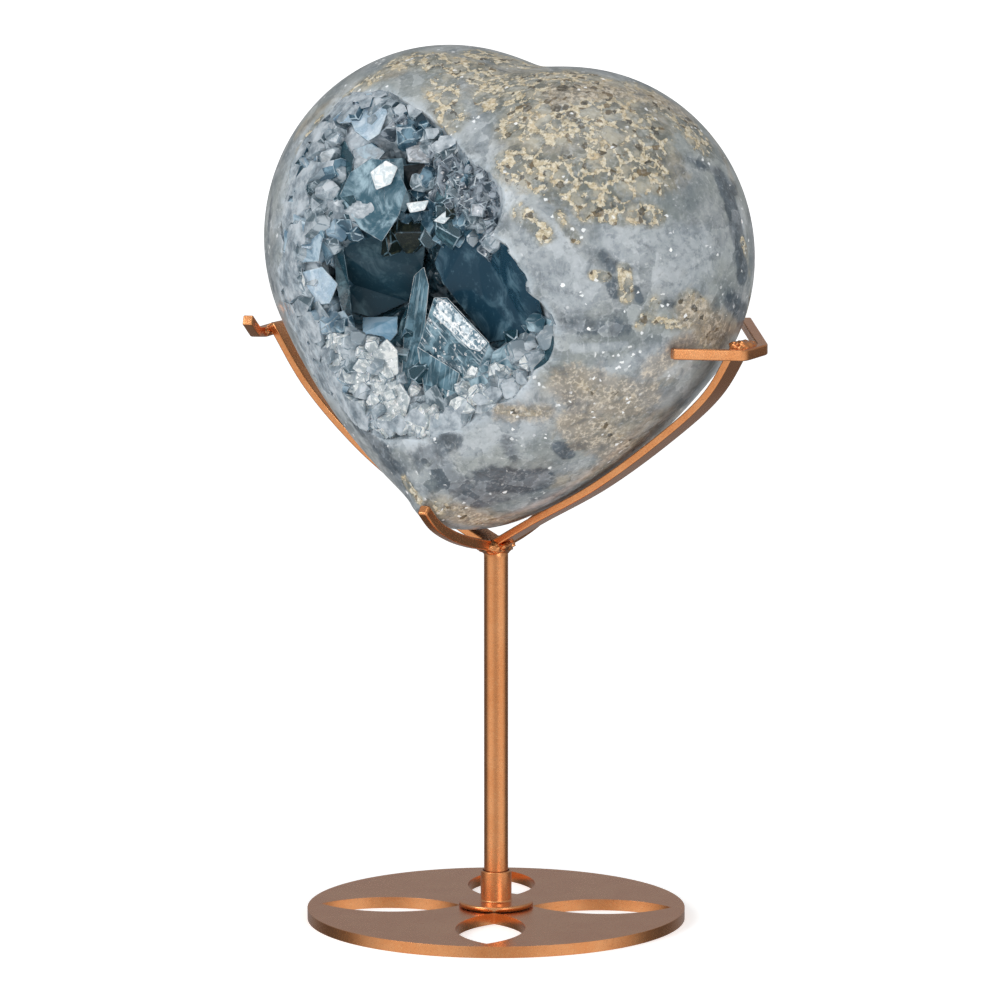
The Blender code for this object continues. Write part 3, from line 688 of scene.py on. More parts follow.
# The side that the view doesn't show: direction from the middle, radius in mm, strength
BACK_PATCHES = {
    "veins": [
        ((0.3, 1, 0.5), 26, 0.9), ((-0.5, 1, -0.2), 16, 0.7), ((0.9, 0.6, 0.1), 15, 0.6),
        ((-0.9, 0.5, 0.6), 14, 0.7), ((0.1, 0.7, -0.9), 14, 0.7),
    ],
    "pale": [
        ((-0.1, 1, 0.1), 22, 0.8), ((0.6, 1, -0.4), 16, 0.8), ((-1, 0.3, 0.1), 16, 0.6),
    ],
    "dark": [
        ((-0.6, 1, 0.4), 13, 0.8), ((0.8, 0.8, 0.4), 9, 0.9), ((0, 1, -0.5), 10, 0.6),
    ],
    "tan": [
        ((0.3, 1, 0.6), 30, 0.6), ((-0.3, 0.8, -0.6), 18, 0.6),
    ],
    "crackle": [
        ((0.5, 1, -0.3), 14, 0.8), ((-0.4, 0.9, -0.7), 12, 0.8),
    ],
}
# Dark grains: view point and radius in mm; painted glints, tiny bright sparks: view point
DARK_GRAINS = [(563, 88, 1.9), (556, 108, 1.7), (571, 114, 1.4), (527, 109, 1.3), (585, 103, 1.0),
               (509, 134, 1.0), (640, 147, 1.2), (560, 185, 1.0)]
GLINT_POINTS = [(563, 285), (589, 329), (503, 311), (742, 222), (671, 250)]
# Width in mm of a painted highlight: a pale band along the opening's edge
RIM_HIGHLIGHT_WIDTH = 2.6
REFRACTION = 1.62


def distance_to_run(points, start, end):
    run = end - start
    along = np.clip(((points - start) @ run) / max(run @ run, 1e-6), 0, 1)
    return np.linalg.norm(points - start - along[:, None] * run, axis=1)


def patch_field(points, name):
    """The strongest of the patches at each point, from 0 far away to 1 and more at a middle."""
    field = np.zeros(len(points))
    for x1, y1, x2, y2, radius, strength in PATCHES[name]:
        away = distance_to_run(points, *on_stone([(x1, y1), (x2, y2)]))
        field = np.maximum(field, strength * (1.5 - away / radius))
    for direction, radius, strength in BACK_PATCHES[name]:
        local = np.array(direction) / np.linalg.norm(direction)
        middle = HEART_AT + HEART_TURN @ local * heart_radius(local[None, :])[0]
        field = np.maximum(field, strength * (1.5 - np.linalg.norm(points - middle, axis=1) / radius))
    return np.clip(field, 0, 1)


def stone_look():
    """Cloudy grey-blue stone with cream matter round grey-green grains, under a polish."""
    look = Look("polished_celestite_look")
    times, plus, step, clouds, paint = look.times, look.plus, look.step, look.clouds, look.paint
    place = look.shifted(clouds(14.0, 3.0, output="Color"), 9.0)
    wobble = clouds(1.7, 3.0, 0.6, output="Color")
    grain_place = look.shifted(wobble, 1.7)
    piece_place = look.shifted(wobble, 0.7)
    mottle = clouds(3.4, 6.0, 0.68, place)
    fine = clouds(1.1, 4.0, 0.65)
    ragged = look.math("MULTIPLY_ADD", clouds(4.0, 6.0, 0.66, place), 1.2, -0.6)

    def zone(name, low, high):
        """Where the patches of one name are, with ragged borders."""
        return step(plus(look.attribute(name), ragged), low, high)

    look.colour = look.ramp(clouds(11.0, 7.0, 0.66, place), [
        (0.30, (84, 97, 106)), (0.42, (116, 125, 130)), (0.52, (146, 152, 154)), (0.62, (168, 173, 175)),
        (0.74, (194, 198, 200))])
    paint(step(clouds(24.0, 3.0), 0.42, 0.6), (140, 147, 142), 0.5)
    paint(zone("tan", 0.25, 0.75), look.ramp(mottle, [
        (0.3, (100, 98, 88)), (0.5, (142, 137, 124)), (0.7, (178, 170, 154))]), 0.85)
    tone = step(mottle, 0.35, 0.65)
    paint(zone("pale", 0.2, 0.8), look.mix(tone, (152, 161, 168), (188, 195, 200)), 0.65)
    # Painted highlight: a pale band along the opening's edge
    paint(times(look.attribute("painted_rim_highlight"), step(mottle, 0.35, 0.6, 0.1, 0.7)), (192, 204, 213))
    paint(zone("dark", 0.3, 0.68), look.mix(tone, (50, 60, 68), (88, 100, 110)), 0.9)

    # Crystal sections: cells of slightly different tone with soft pale borders
    section = look.chances(4.2, grain_place)
    sections = step(clouds(9.0, 3.0), 0.36, 0.56)
    tone = times(step(section[0], 0.0, 1.0, -0.7, 0.6), sections)
    paint(look.math("ABSOLUTE", tone),
          look.mix(look.math("GREATER_THAN", tone, 0.0), (72, 88, 100), (196, 203, 208)), 0.45)
    border = step(look.borders(4.2, grain_place), 0.07, 0.0)
    paint(times(border, times(sections, step(fine, 0.42, 0.6))), (204, 210, 214), 0.3)

    # Cream matter: small angular pieces, more of them where large grains meet
    veins = zone("veins", 0.2, 0.7)
    edge = look.math("MINIMUM", look.borders(4.6, grain_place),
                     plus(look.borders(2.5, grain_place), step(clouds(6.0, 3.0), 0.4, 0.62, 0.3, 0.02)))
    piece = look.chances(1.45, piece_place)
    broken = step(clouds(3.0, 5.0, 0.7), 0.36, 0.66, -0.4, 0.4)
    chance = plus(plus(step(edge, 0.26, 0.0), broken), times(piece[0], 0.6))
    chance = times(plus(chance, step(fine, 0.3, 0.7, -0.14, 0.14)), veins)
    creamy = step(chance, 0.98, 1.06)
    paint(veins, look.mix(step(section[1], 0.1, 0.9), (84, 88, 80), (158, 161, 154)), 0.6)
    paint(times(step(fine, 0.62, 0.38, 0.0, 0.5), veins), (104, 106, 96))
    paint(times(step(clouds(5.0, 4.0, 0.6), 0.42, 0.62), veins), (196, 188, 168), 0.5)
    # Dark brown band round the cream pieces: partly dark cracks, partly painted shade beside the raised
    # cream
    paint(times(step(chance, 0.84, 0.97), veins), (84, 78, 62), 0.6)
    cream = look.ramp(fine, [(0.30, (146, 130, 102)), (0.44, (194, 181, 152)), (0.58, (220, 211, 188)),
                             (0.74, (238, 233, 218))])
    cream = look.mix(step(clouds(5.0, 3.0), 0.54, 0.68, 0.0, 0.35), cream, (204, 176, 132))
    cream = look.mix(step(look.borders(1.45, piece_place), 0.05, 0.0, 0.0, 0.4), cream, (132, 116, 88))
    paint(creamy, cream, 0.92)

    # Crackled places, pits darkened with painted shade, and dark grains
    crackled = zone("crackle", 0.2, 0.7)
    crackle = times(step(look.borders(1.9, grain_place), 0.2, 0.0),
                    step(clouds(2.6, 4.0, 0.65), 0.46, 0.6))
    crackle = times(plus(crackle, step(fine, 0.5, 0.62)), step(mottle, 0.38, 0.6), clamp=True)
    paint(crackled, (140, 131, 118), 0.6)
    paint(times(crackle, crackled), (206, 194, 174), 0.8)
    # Pits: small spots by the cream, painted dark as the shade in them and pressed in by the bump
    shaded_pits = times(step(piece[1], 0.90, 0.93), times(step(chance, 0.5, 0.7), veins))
    paint(shaded_pits, look.mix(step(piece[2], 0.3, 0.7), (56, 52, 44), (104, 88, 62)), 0.85)
    grain = look.mix(step(fine, 0.4, 0.6), (52, 48, 40), (98, 90, 72))
    for x, y, radius in DARK_GRAINS:
        away = look.distance(stone_point(x, y), grain_place)
        paint(step(away, radius, radius * 0.8, 0.0, 0.9), grain)

    # Grain, and painted glints: whitish specks and tiny sparks standing in for light caught inside the
    # stone
    paint(step(fine, 0.5, 0.75, 0.0, 0.3), (205, 209, 211))
    paint(step(clouds(1.8, 5.0, 0.7), 0.46, 0.3, 0.0, 0.4), (84, 94, 102))
    paint(step(mottle, 0.48, 0.3, 0.0, 0.45), (74, 84, 92))
    painted_glints = times(step(look.chances(0.8, piece_place)[0], 0.972, 0.98),
                   step(clouds(8.0, 2.0), 0.5, 0.6, 0.0, 0.8))
    for x, y in GLINT_POINTS:
        near = step(look.distance(stone_point(x, y), grain_place), 0.6, 0.5)
        painted_glints = look.math("MAXIMUM", painted_glints, near)
    paint(painted_glints, (244, 246, 247))
    relief = plus(plus(times(creamy, 0.5), times(shaded_pits, -1.0)), times(fine, 0.2))
    return look.set(Base_Color=look.colour, Roughness=step(creamy, 0.0, 1.0, 0.3, 0.5), IOR=REFRACTION,
                    Specular_IOR_Level=0.28, Coat_Weight=0.16, Coat_Roughness=0.08,
                    Subsurface_Weight=0.18, Subsurface_Radius=(0.0025, 0.003, 0.0035),
                    Subsurface_Scale=0.6, Normal=look.bump(relief, 0.6, 0.2))


def heart_mesh(name, inset, cells):
    """The closed heart: a cube with square cells on each side, blown up."""
    shape = bmesh.new()
    bmesh.ops.create_cube(shape, size=2.0)
    bmesh.ops.subdivide_edges(shape, edges=shape.edges, cuts=cells - 1, use_grid_fill=True)
    directions = np.tan(math.pi / 4 * np.array([tuple(vert.co) for vert in shape.verts]))
    directions /= np.linalg.norm(directions, axis=1)[:, None]
    places = (directions * (heart_radius(directions) - inset)[:, None]) @ HEART_TURN.T + HEART_AT
    for vert, place in zip(shape.verts, places):
        vert.co = place
    bmesh.ops.triangulate(shape, faces=shape.faces)
    return mesh_from_bmesh(name, shape)


def hollow_mesh(name, thickness=0.0, lift=0.0, beyond=1.06, lid=12.0, turns=HOLLOW_TURNS,
                rings=HOLLOW_RINGS, crumbs=True):
    """The hollow's open space: a ball whose lower half is pressed into the floor's form."""
    shape = bmesh.new()
    bmesh.ops.create_uvsphere(shape, u_segments=turns, v_segments=2 * rings, radius=1.0)
    ball = np.array([tuple(vert.co) for vert in shape.verts])
    from_pole = np.arccos(np.clip(np.abs(ball[:, 2]), 0, 1)) / (math.pi / 2)
    ring = np.rint(from_pole * rings).astype(int)
    shares = np.append(np.linspace(0, 1, rings) ** 0.8, beyond)
    share = shares[ring]
    ways = ball[:, :2] / np.maximum(np.linalg.norm(ball[:, :2], axis=1), 1e-9)[:, None]
    ways[ring == 0] = (1.0, 0.0)
    middle = np.array(OPENING_CENTRE)
    reach = from_opening_edge(middle + ways * START_BEFORE) + START_BEFORE
    places = middle + ways * (reach * share)[:, None]
    depth = np.where(ball[:, 2] < 0, hollow_depth(places, thickness, crumbs) - lift, -lid)
    depth = np.where(ring == rings, -EDGE_HEIGHT, depth)
    for vert, point in zip(shape.verts, dug_points(places, depth)):
        vert.co = point
    bmesh.ops.triangulate(shape, faces=shape.faces)
    return mesh_from_bmesh(name, shape)


def wall_look():
    """The hollow's own wall between crystals: pale near the polish, dark teal deep down, partly its own
    colour and partly painted shade.
    """
    look = Look("hollow_wall_look")
    clump = look.clouds(5.0, 6.0, 0.65)
    shallow = look.mix(look.step(clump, 0.35, 0.65), (104, 118, 128), (184, 193, 200))
    deep = look.mix(look.step(clump, 0.35, 0.7), (16, 34, 42), (52, 84, 98))
    # Darker with depth under the polish: partly painted shade deep in the hollow
    look.colour = look.mix(look.step(look.attribute("depth"), 5.0, 12.0), shallow, deep)
    look.paint(look.step(look.chances(1.6)[0], 0.6, 1.0, 0.0, 0.3), (170, 186, 196))
    relief = look.plus(look.cells(1.6), clump)
    return look.set(Base_Color=look.colour, Roughness=0.25, IOR=REFRACTION,
                    Normal=look.bump(relief, 0.6, 0.5))


def build_stone():
    """The polished heart with the hollow cut from its front."""
    stone = new_piece("polished_stone", heart_mesh("polished_stone", 0.0, HEART_CELLS), stone_look())
    hollow = new_piece("hollow", hollow_mesh("hollow", BED_THICKNESS, **BED_GRID))
    cut(stone, "DIFFERENCE", hollow)
    baked(stone)
    discard(hollow)
    points = mesh_points(stone.data)
    for name in PATCHES:
        add_field(stone.data, name, patch_field(points, name))
    # A painted highlight along the opening's edge, on the front only: 1 at the edge, 0 a width away
    front = (points - HEART_AT) @ DIG_WAY < 0
    from_edge = np.abs(from_opening_edge(dig_places(points)))
    add_field(stone.data, "painted_rim_highlight", np.clip(1.0 - from_edge / RIM_HIGHLIGHT_WIDTH, 0, 1) * front)
    shade(stone.data.polygons)
    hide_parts("heart")
    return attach(stone, "root")


# ---------------------------------------------------------------- crystals

EDGE_BEVEL = 0.22
FLOOR_CLEARANCE = 0.6
ROOT_DEPTH = 1.0
BACK_SHARE = 0.86
GOLDEN_ANGLE = 2.39996
SMALL_SEED = 11
# Edges of crystals: dull colour, colour of a painted highlight, share of the length that carries the
# painted highlight
EDGES = {
    "bright": ((140, 160, 172), (240, 244, 246), 0.6),
    "faint": ((124, 142, 153), (186, 198, 206), 0.08),
    "soft": ((66, 92, 106), (168, 190, 202), 0.3),
    "dim": ((34, 56, 66), (96, 122, 134), 0.2),
}
# Streaks run from one point to another: view x, view y, depth
BLADE_RUN = ((447, 297, 11.0), (489, 343, 9.5))
PRISM_RUN = ((424, 266, 16.0), (406, 398, 12.0))
# Kinds of crystal: edges, clear and cloudy colour, clearness, size of clouds in mm, other settings
KINDS = {
    "clear": ("faint", (96, 120, 132), (176, 188, 196), 0.45, 5.0, {}),
    "pale": ("faint", (142, 158, 168), (192, 200, 206), 0.25, 5.0, {"soft": 0.3}),
    "sky": ("faint", (116, 148, 170), (172, 192, 205), 0.25, 5.0, {"soft": 0.2}),
    "sky_bright": ("soft", (132, 178, 208), (170, 200, 220), 0.1, 5.0, {}),
    # Painted highlights: pale pieces laid where light catches the crystals
    "painted_highlight": ("bright", (206, 220, 226), (244, 248, 250), 0.2, 2.0, {"rough": 0.06}),
    "chalk": ("faint", (160, 184, 202), (200, 213, 223), 0.1, 5.0, {"rough": 0.22, "soft": 0.4}),
    "frost": ("faint", (172, 183, 188), (226, 229, 228), 0.12, 2.2,
              {"rough": 0.2, "painted_glint_share": 0.14, "soft": 0.3}),
    "blue": ("soft", (58, 92, 112), (118, 150, 168), 0.35, 5.0, {}),
    "pale_teal": ("faint", (60, 102, 120), (166, 192, 204), 0.3, 8.0, {"cloud": (0.4, 0.62)}),
    "teal": ("soft", (42, 80, 94), (102, 138, 150), 0.4, 5.0, {"cloud": (0.48, 0.75)}),
    "mauve": ("faint", (62, 79, 92), (150, 160, 170), 0.3, 3.0,
              {"cloud": (0.44, 0.6), "painted_glint_share": 0.08, "soft": 0.2}),
    "striped": ("bright", (50, 86, 102), (120, 152, 166), 0.25, 3.0,
                {"painted_glint_share": 0.10, "lines": (BLADE_RUN, 0.75, (206, 220, 228))}),
    "sparkly": ("bright", (96, 126, 142), (206, 219, 226), 0.1, 1.8,
                {"painted_glint_share": 0.4, "lines": (BLADE_RUN, 0.85, (246, 249, 250))}),
    "lined": ("bright", (44, 84, 100), (96, 132, 148), 0.3, 5.0,
              {"lines": (PRISM_RUN, 0.55, (170, 196, 208))}),
    "great": ("dim", (30, 62, 80), (98, 130, 146), 0.15, 8.0,
              {"cloud": (0.46, 0.76), "rough": 0.1, "gloss": 0.12}),
    "great_pale": ("soft", (54, 94, 114), (150, 172, 186), 0.2, 5.0,
                   {"cloud": (0.44, 0.66), "rough": 0.1, "gloss": 0.2}),
    "slate": ("dim", (36, 66, 80), (100, 128, 138), 0.15, 9.0,
              {"cloud": (0.5, 0.8), "rough": 0.1, "ring": ((374, 262, 25.0), 5.0, 2.2), "gloss": 0.12}),
    "deep": ("dim", (10, 22, 28), (40, 64, 74), 0.2, 6.0,
             {"cloud": (0.5, 0.8), "rough": 0.12, "gloss": 0.05}),
    "olive": ("dim", (30, 40, 38), (92, 96, 76), 0.2, 4.0,
              {"cloud": (0.5, 0.75), "rough": 0.1, "gloss": 0.15}),
}
# Crystals with a large face: name, thickness, kind, and per corner view x, view y, depth
FACE_CRYSTALS = [
    ("great_face", 12, "great", (443, 240, 17, 473, 229, 18, 507, 246, 20, 527, 263, 22, 535, 287, 23,
     544, 317, 25, 531, 336, 24, 490, 343, 20, 443, 284, 17, 434, 263, 17)),
    ("great_ledge", 6, "great_pale", (448, 238, 15, 474, 226, 15, 512, 242, 16.5, 524, 262, 18,
     500, 262, 18, 470, 256, 17)),
    ("pocket_face", 10, "slate", (345, 232, 24, 372, 222, 23, 402, 226, 22, 426, 238, 22, 423, 268, 23,
     408, 302, 26, 372, 318, 29, 350, 312, 29, 340, 280, 27, 338, 250, 25)),
    ("pocket_shelf", 8, "sky_bright", (362, 317, 21, 398, 316, 21, 398, 333, 18, 391, 341, 17,
     368, 341, 17, 362, 333, 18)),
    ("prism", 5, "lined", (414, 275, 17, 424, 266, 16, 429, 285, 15.5, 425, 330, 14.5, 417, 378, 12,
     406, 398, 11, 401, 380, 13, 404, 330, 16)),
    ("blade", 6, "striped", (434, 297, 12, 447, 297, 11, 490, 343, 9.5, 477, 372, 8.5, 459, 400, 8,
     445, 420, 8, 428, 405, 10, 417, 350, 12)),
    ("blade_band", 3, "sparkly", (438, 300, 11.2, 446, 299, 10.4, 488, 343, 8.8, 480, 352, 9,
     470, 349, 9.4, 432, 314, 11.2)),
    ("blade_right", 5, "pale_teal", (489, 343, 9, 496, 353, 10, 480, 390, 8, 466, 404, 7.5,
     459, 398, 7.5, 477, 372, 8)),
    ("blade_low", 3, "lined", (417, 346, 10.6, 460, 373, 7.6, 454, 398, 7.2, 441, 414, 7.2,
     425, 398, 9)),
    ("shard_left", 4, "clear", (424, 392, 6, 436, 384, 6, 446, 404, 5, 440, 424, 4, 428, 418, 4.5)),
    ("shard_middle", 4, "clear", (444, 398, 5.5, 456, 392, 5.5, 462, 412, 4, 454, 428, 3.5,
     443, 420, 4)),
    ("shard_right", 4, "clear", (460, 396, 5.5, 472, 386, 6, 476, 404, 5, 470, 422, 4, 460, 414, 4.5)),
    ("hanging_plate", 5, "pale_teal", (339, 196, 6, 350, 172, 5, 372, 157, 4, 396, 163, 4, 407, 190, 5,
     399, 216, 6, 382, 242, 6.4, 360, 229, 6.4)),
    # A painted highlight on the hanging plate
    ("hanging_highlight", 3, "painted_highlight", (370, 172, 3.4, 386, 160, 3, 398, 167, 3.2, 391, 184, 4,
     376, 190, 4.2)),
    ("hanging_side", 5, "teal", (336, 196, 9, 346, 176, 7.6, 356, 200, 8, 360, 226, 9, 346, 220, 10)),
    ("chunk", 7, "chalk", (352, 100, 2.2, 364, 90, 1, 381, 94, 1, 388, 112, 1.6, 380, 134, 2,
     368, 142, 2.4, 354, 131, 2.4, 348, 114, 2.4)),
    ("dark_box", 5, "deep", (402, 165, 7, 427, 162, 7, 428, 190, 8, 403, 191, 8)),
    # Painted highlights below the dark box
    ("glint", 3, "painted_highlight", (406, 203, 6.6, 429, 200, 6.2, 425, 210, 7, 410, 213, 7.2)),
    ("glint_right", 3, "painted_highlight", (433, 221, 6.6, 449, 208, 6.2, 455, 212, 6.6, 444, 224, 7.2)),
    ("teal_top", 6, "teal", (328, 150, 7, 345, 140, 6, 354, 158, 6.5, 348, 190, 8, 334, 202, 8,
     325, 176, 7.5)),
    ("teal_inner", 6, "blue", (352, 150, 7, 372, 142, 6, 386, 152, 6.4, 372, 168, 7.6, 354, 172, 8)),
    ("druzy_block", 6, "mauve", (404, 140, 5, 424, 132, 4.5, 438, 148, 5, 430, 164, 6, 408, 162, 6)),
    ("left_top", 6, "clear", (290, 172, 0.8, 306, 157, 0.8, 325, 165, 2.4, 328, 190, 3.4,
     311, 213, 2.4, 292, 205, 0.8)),
    ("left_second", 6, "sky", (284, 226, 0.6, 312, 220, 1.6, 323, 238, 3.2, 319, 262, 3.4,
     297, 263, 1.6, 283, 250, 0.6)),
    ("left_inner", 6, "blue", (316, 208, 5, 332, 222, 6, 337, 250, 7, 327, 266, 7, 318, 240, 5)),
    ("left_third", 6, "chalk", (300, 272, 1.6, 322, 266, 3, 338, 284, 5, 330, 304, 5, 310, 306, 3,
     298, 292, 1.6)),
    ("left_frost", 6, "frost", (280, 272, 0.6, 298, 264, 1.2, 306, 280, 1.4, 302, 303, 1.4,
     286, 298, 0.6)),
    ("left_low", 6, "pale", (296, 312, 1.2, 318, 300, 3.4, 330, 318, 5, 326, 345, 4.2, 306, 345, 1.4)),
    ("left_slit", 4, "teal", (334, 250, 11, 342, 240, 11.5, 350, 290, 14, 352, 318, 13, 343, 316, 11,
     336, 285, 10.6)),
    ("wall_low", 6, "blue", (326, 316, 8, 344, 310, 10, 360, 336, 11, 356, 356, 9, 338, 350, 7)),
    ("frost_peak", 6, "frost", (372, 352, 8, 387, 338, 8, 398, 350, 8, 399, 374, 6.5, 384, 382, 6,
     371, 370, 7)),
    ("frost_front", 7, "frost", (376, 386, 4, 398, 379, 5, 411, 398, 4, 404, 425, 2, 386, 440, 1,
     368, 426, 1.4, 364, 403, 3)),
    ("frost_left", 6, "frost", (334, 374, 3, 350, 352, 6, 368, 356, 7, 370, 376, 6, 358, 394, 3.4,
     340, 392, 2)),
    ("frost_low", 6, "pale", (338, 396, 1.6, 358, 396, 3, 366, 414, 2.4, 356, 428, 1.2, 344, 414, 1)),
    ("right_ledge", 7, "pale_teal", (492, 352, 8, 516, 338, 8.6, 532, 352, 7.6, 527, 378, 5,
     506, 393, 4, 487, 382, 5)),
    ("right_end", 7, "teal", (531, 346, 7, 549, 331, 6, 561, 344, 3, 552, 366, 1.6, 534, 374, 3.4)),
    ("right_low", 6, "pale", (478, 394, 4, 502, 389, 3.6, 514, 398, 2, 494, 416, 1.2, 474, 414, 2.4)),
    ("right_cream", 6, "frost", (516, 378, 3.6, 536, 374, 2.4, 540, 386, 1, 520, 402, 1)),
]
# Prisms: name, root and tip as (view x, view y, depth), width, thickness, twist, kind, seed
PRISM_CRYSTALS = [
    ("prism_left", (398, 392, 20), (409, 300, 21), 5.0, 4.0, -20, "teal", 14),
    ("plate_right", (392, 160, 7), (400, 224, 9.6), 7.0, 5.0, 25, "pale_teal", 17),
    ("pocket_left", (334, 310, 26), (352, 262, 20), 9.0, 7.0, -40, "blue", 21),
    ("great_low", (540, 372, 26), (490, 318, 21), 14.0, 10.0, 25, "great", 25),
    ("olive_back", (420, 205, 22), (410, 256, 18), 14.0, 8.0, -10, "olive", 29),
    ("olive_left", (395, 225, 22), (400, 262, 20), 9.0, 7.0, 30, "olive", 30),
    ("centre", (452, 205, 12), (452, 250, 15), 9.0, 6.0, -30, "teal", 47),
    ("centre_right", (470, 200, 10), (476, 236, 13), 9.0, 7.0, 20, "blue", 48),
    ("upper_right", (452, 170, 8), (448, 205, 8), 8.0, 6.0, 10, "mauve", 46),
]
# Crystals along the opening's edge, cut off by the polish: up to which corner of the edge, kinds
RIM_CRYSTALS = [(4.2, ("clear", "sky", "pale")), (7.0, ("sky", "clear", "pale")),
                (9.5, ("pale", "frost", "frost")), (11.5, ("pale", "frost", "pale")),
                (14.2, ("pale", "pale_teal", "frost")), (18.2, None),
                (20.0, ("pale", "mauve")), (22.6, None), (26.0, ("mauve", "blue", "clear")),
                (28.0, ("pale", "chalk", "clear"))]
RIM_COUNT = 96
# Small crystals: view x, y, radius of the group, count, width range, rise range, kinds
CLUSTERS = [
    (322, 128, 24, 16, (3.0, 6.0), (0.4, 0.9), ("clear", "mauve", "pale")),
    (296, 205, 30, 14, (5.0, 9.0), (0.5, 0.9), ("clear", "sky", "pale")),
    (314, 172, 28, 16, (5.0, 9.0), (0.5, 0.9), ("clear", "teal", "pale", "blue")),
    (318, 240, 24, 10, (5.0, 8.0), (0.4, 0.8), ("clear", "blue", "sky")),
    (293, 262, 28, 12, (5.0, 9.0), (0.5, 0.9), ("pale", "sky", "clear")),
    (305, 325, 34, 18, (5.0, 9.0), (0.5, 0.9), ("clear", "sky", "pale")),
    (330, 375, 28, 14, (4.0, 8.0), (0.5, 0.9), ("pale", "frost", "clear")),
    (355, 372, 30, 16, (3.0, 6.0), (0.5, 1.1), ("frost", "pale", "frost")),
    (388, 408, 36, 34, (2.5, 5.5), (0.5, 1.1), ("frost", "frost", "pale")),
    (442, 418, 30, 18, (2.5, 5.0), (0.5, 1.0), ("clear", "pale", "frost")),
    (500, 385, 36, 24, (3.5, 7.0), (0.5, 1.0), ("pale_teal", "pale", "pale", "frost")),
    (540, 345, 26, 12, (4.0, 7.0), (0.5, 1.0), ("teal", "pale_teal", "pale")),
    (340, 225, 16, 5, (4.0, 7.0), (0.4, 0.7), ("teal", "blue")),
    (345, 345, 16, 8, (4.0, 7.0), (0.5, 0.9), ("pale", "frost", "blue")),
    (398, 112, 26, 14, (3.5, 7.0), (0.4, 0.8), ("mauve", "blue", "pale")),
    (445, 158, 38, 44, (2.4, 5.0), (0.5, 1.1), ("mauve", "mauve", "blue", "clear")),
    (484, 190, 36, 42, (2.4, 5.0), (0.5, 1.1), ("mauve", "mauve", "clear")),
    (506, 238, 20, 8, (4.0, 7.0), (0.4, 0.9), ("mauve", "pale")),
    (430, 222, 34, 14, (3.5, 7.0), (0.5, 1.0), ("olive", "teal", "blue")),
    (435, 350, 36, 10, (4.0, 7.0), (0.5, 0.9), ("teal", "blue")),
    (345, 108, 24, 12, (3.5, 7.0), (0.4, 0.9), ("blue", "chalk", "pale")),
    (395, 100, 22, 10, (4.0, 7.0), (0.4, 0.9), ("pale", "mauve")),
]


def crystal_look(name, clear, cloudy, clearness, cloud_size, cloud=(0.42, 0.62), rough=0.08,
                 painted_glint_share=0.0, lines=None, soft=0.0, ring=None, gloss=0.4):
    """A crystal: clear coloured parts with cloudy veils, see-through where it is clear."""
    look = Look(name)
    times, step, clouds = look.times, look.step, look.clouds
    veil = clouds(cloud_size, 6.0, 0.62, distortion=0.6)
    veiled = step(veil, *cloud)
    if ring:
        centre, radius, width = ring
        away = look.math("ABSOLUTE", look.math("SUBTRACT", look.distance(stone_point(*centre)), radius))
        band = times(step(away, width, 0.0), step(clouds(6.0, 3.0), 0.4, 0.6))
        veiled = look.math("MAXIMUM", veiled, band)
    look.colour = look.mix(veiled, clear, cloudy)
    tiny = clouds(0.7, 4.0, 0.7)
    look.paint(step(clouds(1.6, 4.0, 0.7), 0.55, 0.75, 0.0, 0.35), cloudy)
    # Painted glints: tiny bright spots standing in for light caught by small facets
    if painted_glint_share:
        glint = step(look.chances(0.7)[0], 1.0 - painted_glint_share, 1.0 - painted_glint_share + 0.05)
        look.paint(times(glint, step(tiny, 0.4, 0.55)), (250, 251, 252))
    if lines:
        (start, end), strength, line_colour = lines
        streak = clouds(0.75, 3.0, 0.6, look.along(stone_point(*end) - stone_point(*start), 14.0))
        look.paint(step(streak, 0.54, 0.64, 0.0, strength), line_colour)
    if soft:
        look.set(Subsurface_Radius=(0.0016, 0.002, 0.0024), Subsurface_Scale=1.0)
    relief = look.plus(times(veil, 0.6), times(tiny, 0.25))
    return look.set(Base_Color=look.colour, Roughness=step(tiny, 0.3, 0.8, rough * 0.6, rough * 1.8),
                    IOR=REFRACTION, Specular_IOR_Level=gloss, Subsurface_Weight=soft,
                    Transmission_Weight=step(veiled, 0.0, 1.0, clearness, clearness * 0.25),
                    Normal=look.bump(relief, 0.35, 0.35))


def edge_look(name, dull, bright, share):
    """The thin bevelled edges of crystals, with a painted highlight along part of their length."""
    look = Look(name)
    along = look.step(look.clouds(2.4, 3.0, 0.6), 0.5 - share * 0.25, 0.62 - share * 0.25)
    return look.set(Base_Color=look.mix(along, dull, bright), Roughness=0.16, IOR=REFRACTION,
                    Transmission_Weight=0.15)


def crystal_looks():
    """Each kind of crystal, with the look of its bevelled edges."""
    edges = {name: edge_look("edge_" + name, *settings) for name, settings in EDGES.items()}
    return {name: (crystal_look("crystal_" + name, *colours, **others), edges[edge])
            for name, (edge, *colours, others) in KINDS.items()}


def add_crystal(name, shape, bevel, looks, group, turn=None):
    """Bevels a crystal's edges, turns it into place and puts it in the group with its two looks."""
    bmesh.ops.bevel(shape, geom=list(shape.edges), offset=bevel, segments=1, affect="EDGES",
                    clamp_overlap=True, material=1)
    bmesh.ops.triangulate(shape, faces=shape.faces)
    if turn:
        bmesh.ops.transform(shape, matrix=turn, verts=shape.verts)
    mesh = mesh_from_bmesh(name, shape)
    for look in looks:
        mesh.materials.append(look)
    group.objects.link(bpy.data.objects.new(name, mesh))


def face_crystal(name, thickness, looks, corners, group):
    """A crystal whose large face has a given outline as seen, each corner at its own depth."""
    corners = np.array(corners, float).reshape(-1, 3)
    floor = hollow_depth(dig_places(on_stone(corners[:, :2])), crumbs=False)
    front = on_stone(corners[:, :2], np.minimum(corners[:, 2], floor - FLOOR_CLEARANCE))
    middle = front.mean(axis=0)
    shape = bmesh.new()
    skin(shape, [front, middle + (front - middle) * BACK_SHARE + FORWARD * thickness])
    bmesh.ops.recalc_face_normals(shape, faces=shape.faces)
    add_crystal(name, shape, EDGE_BEVEL, looks, group)


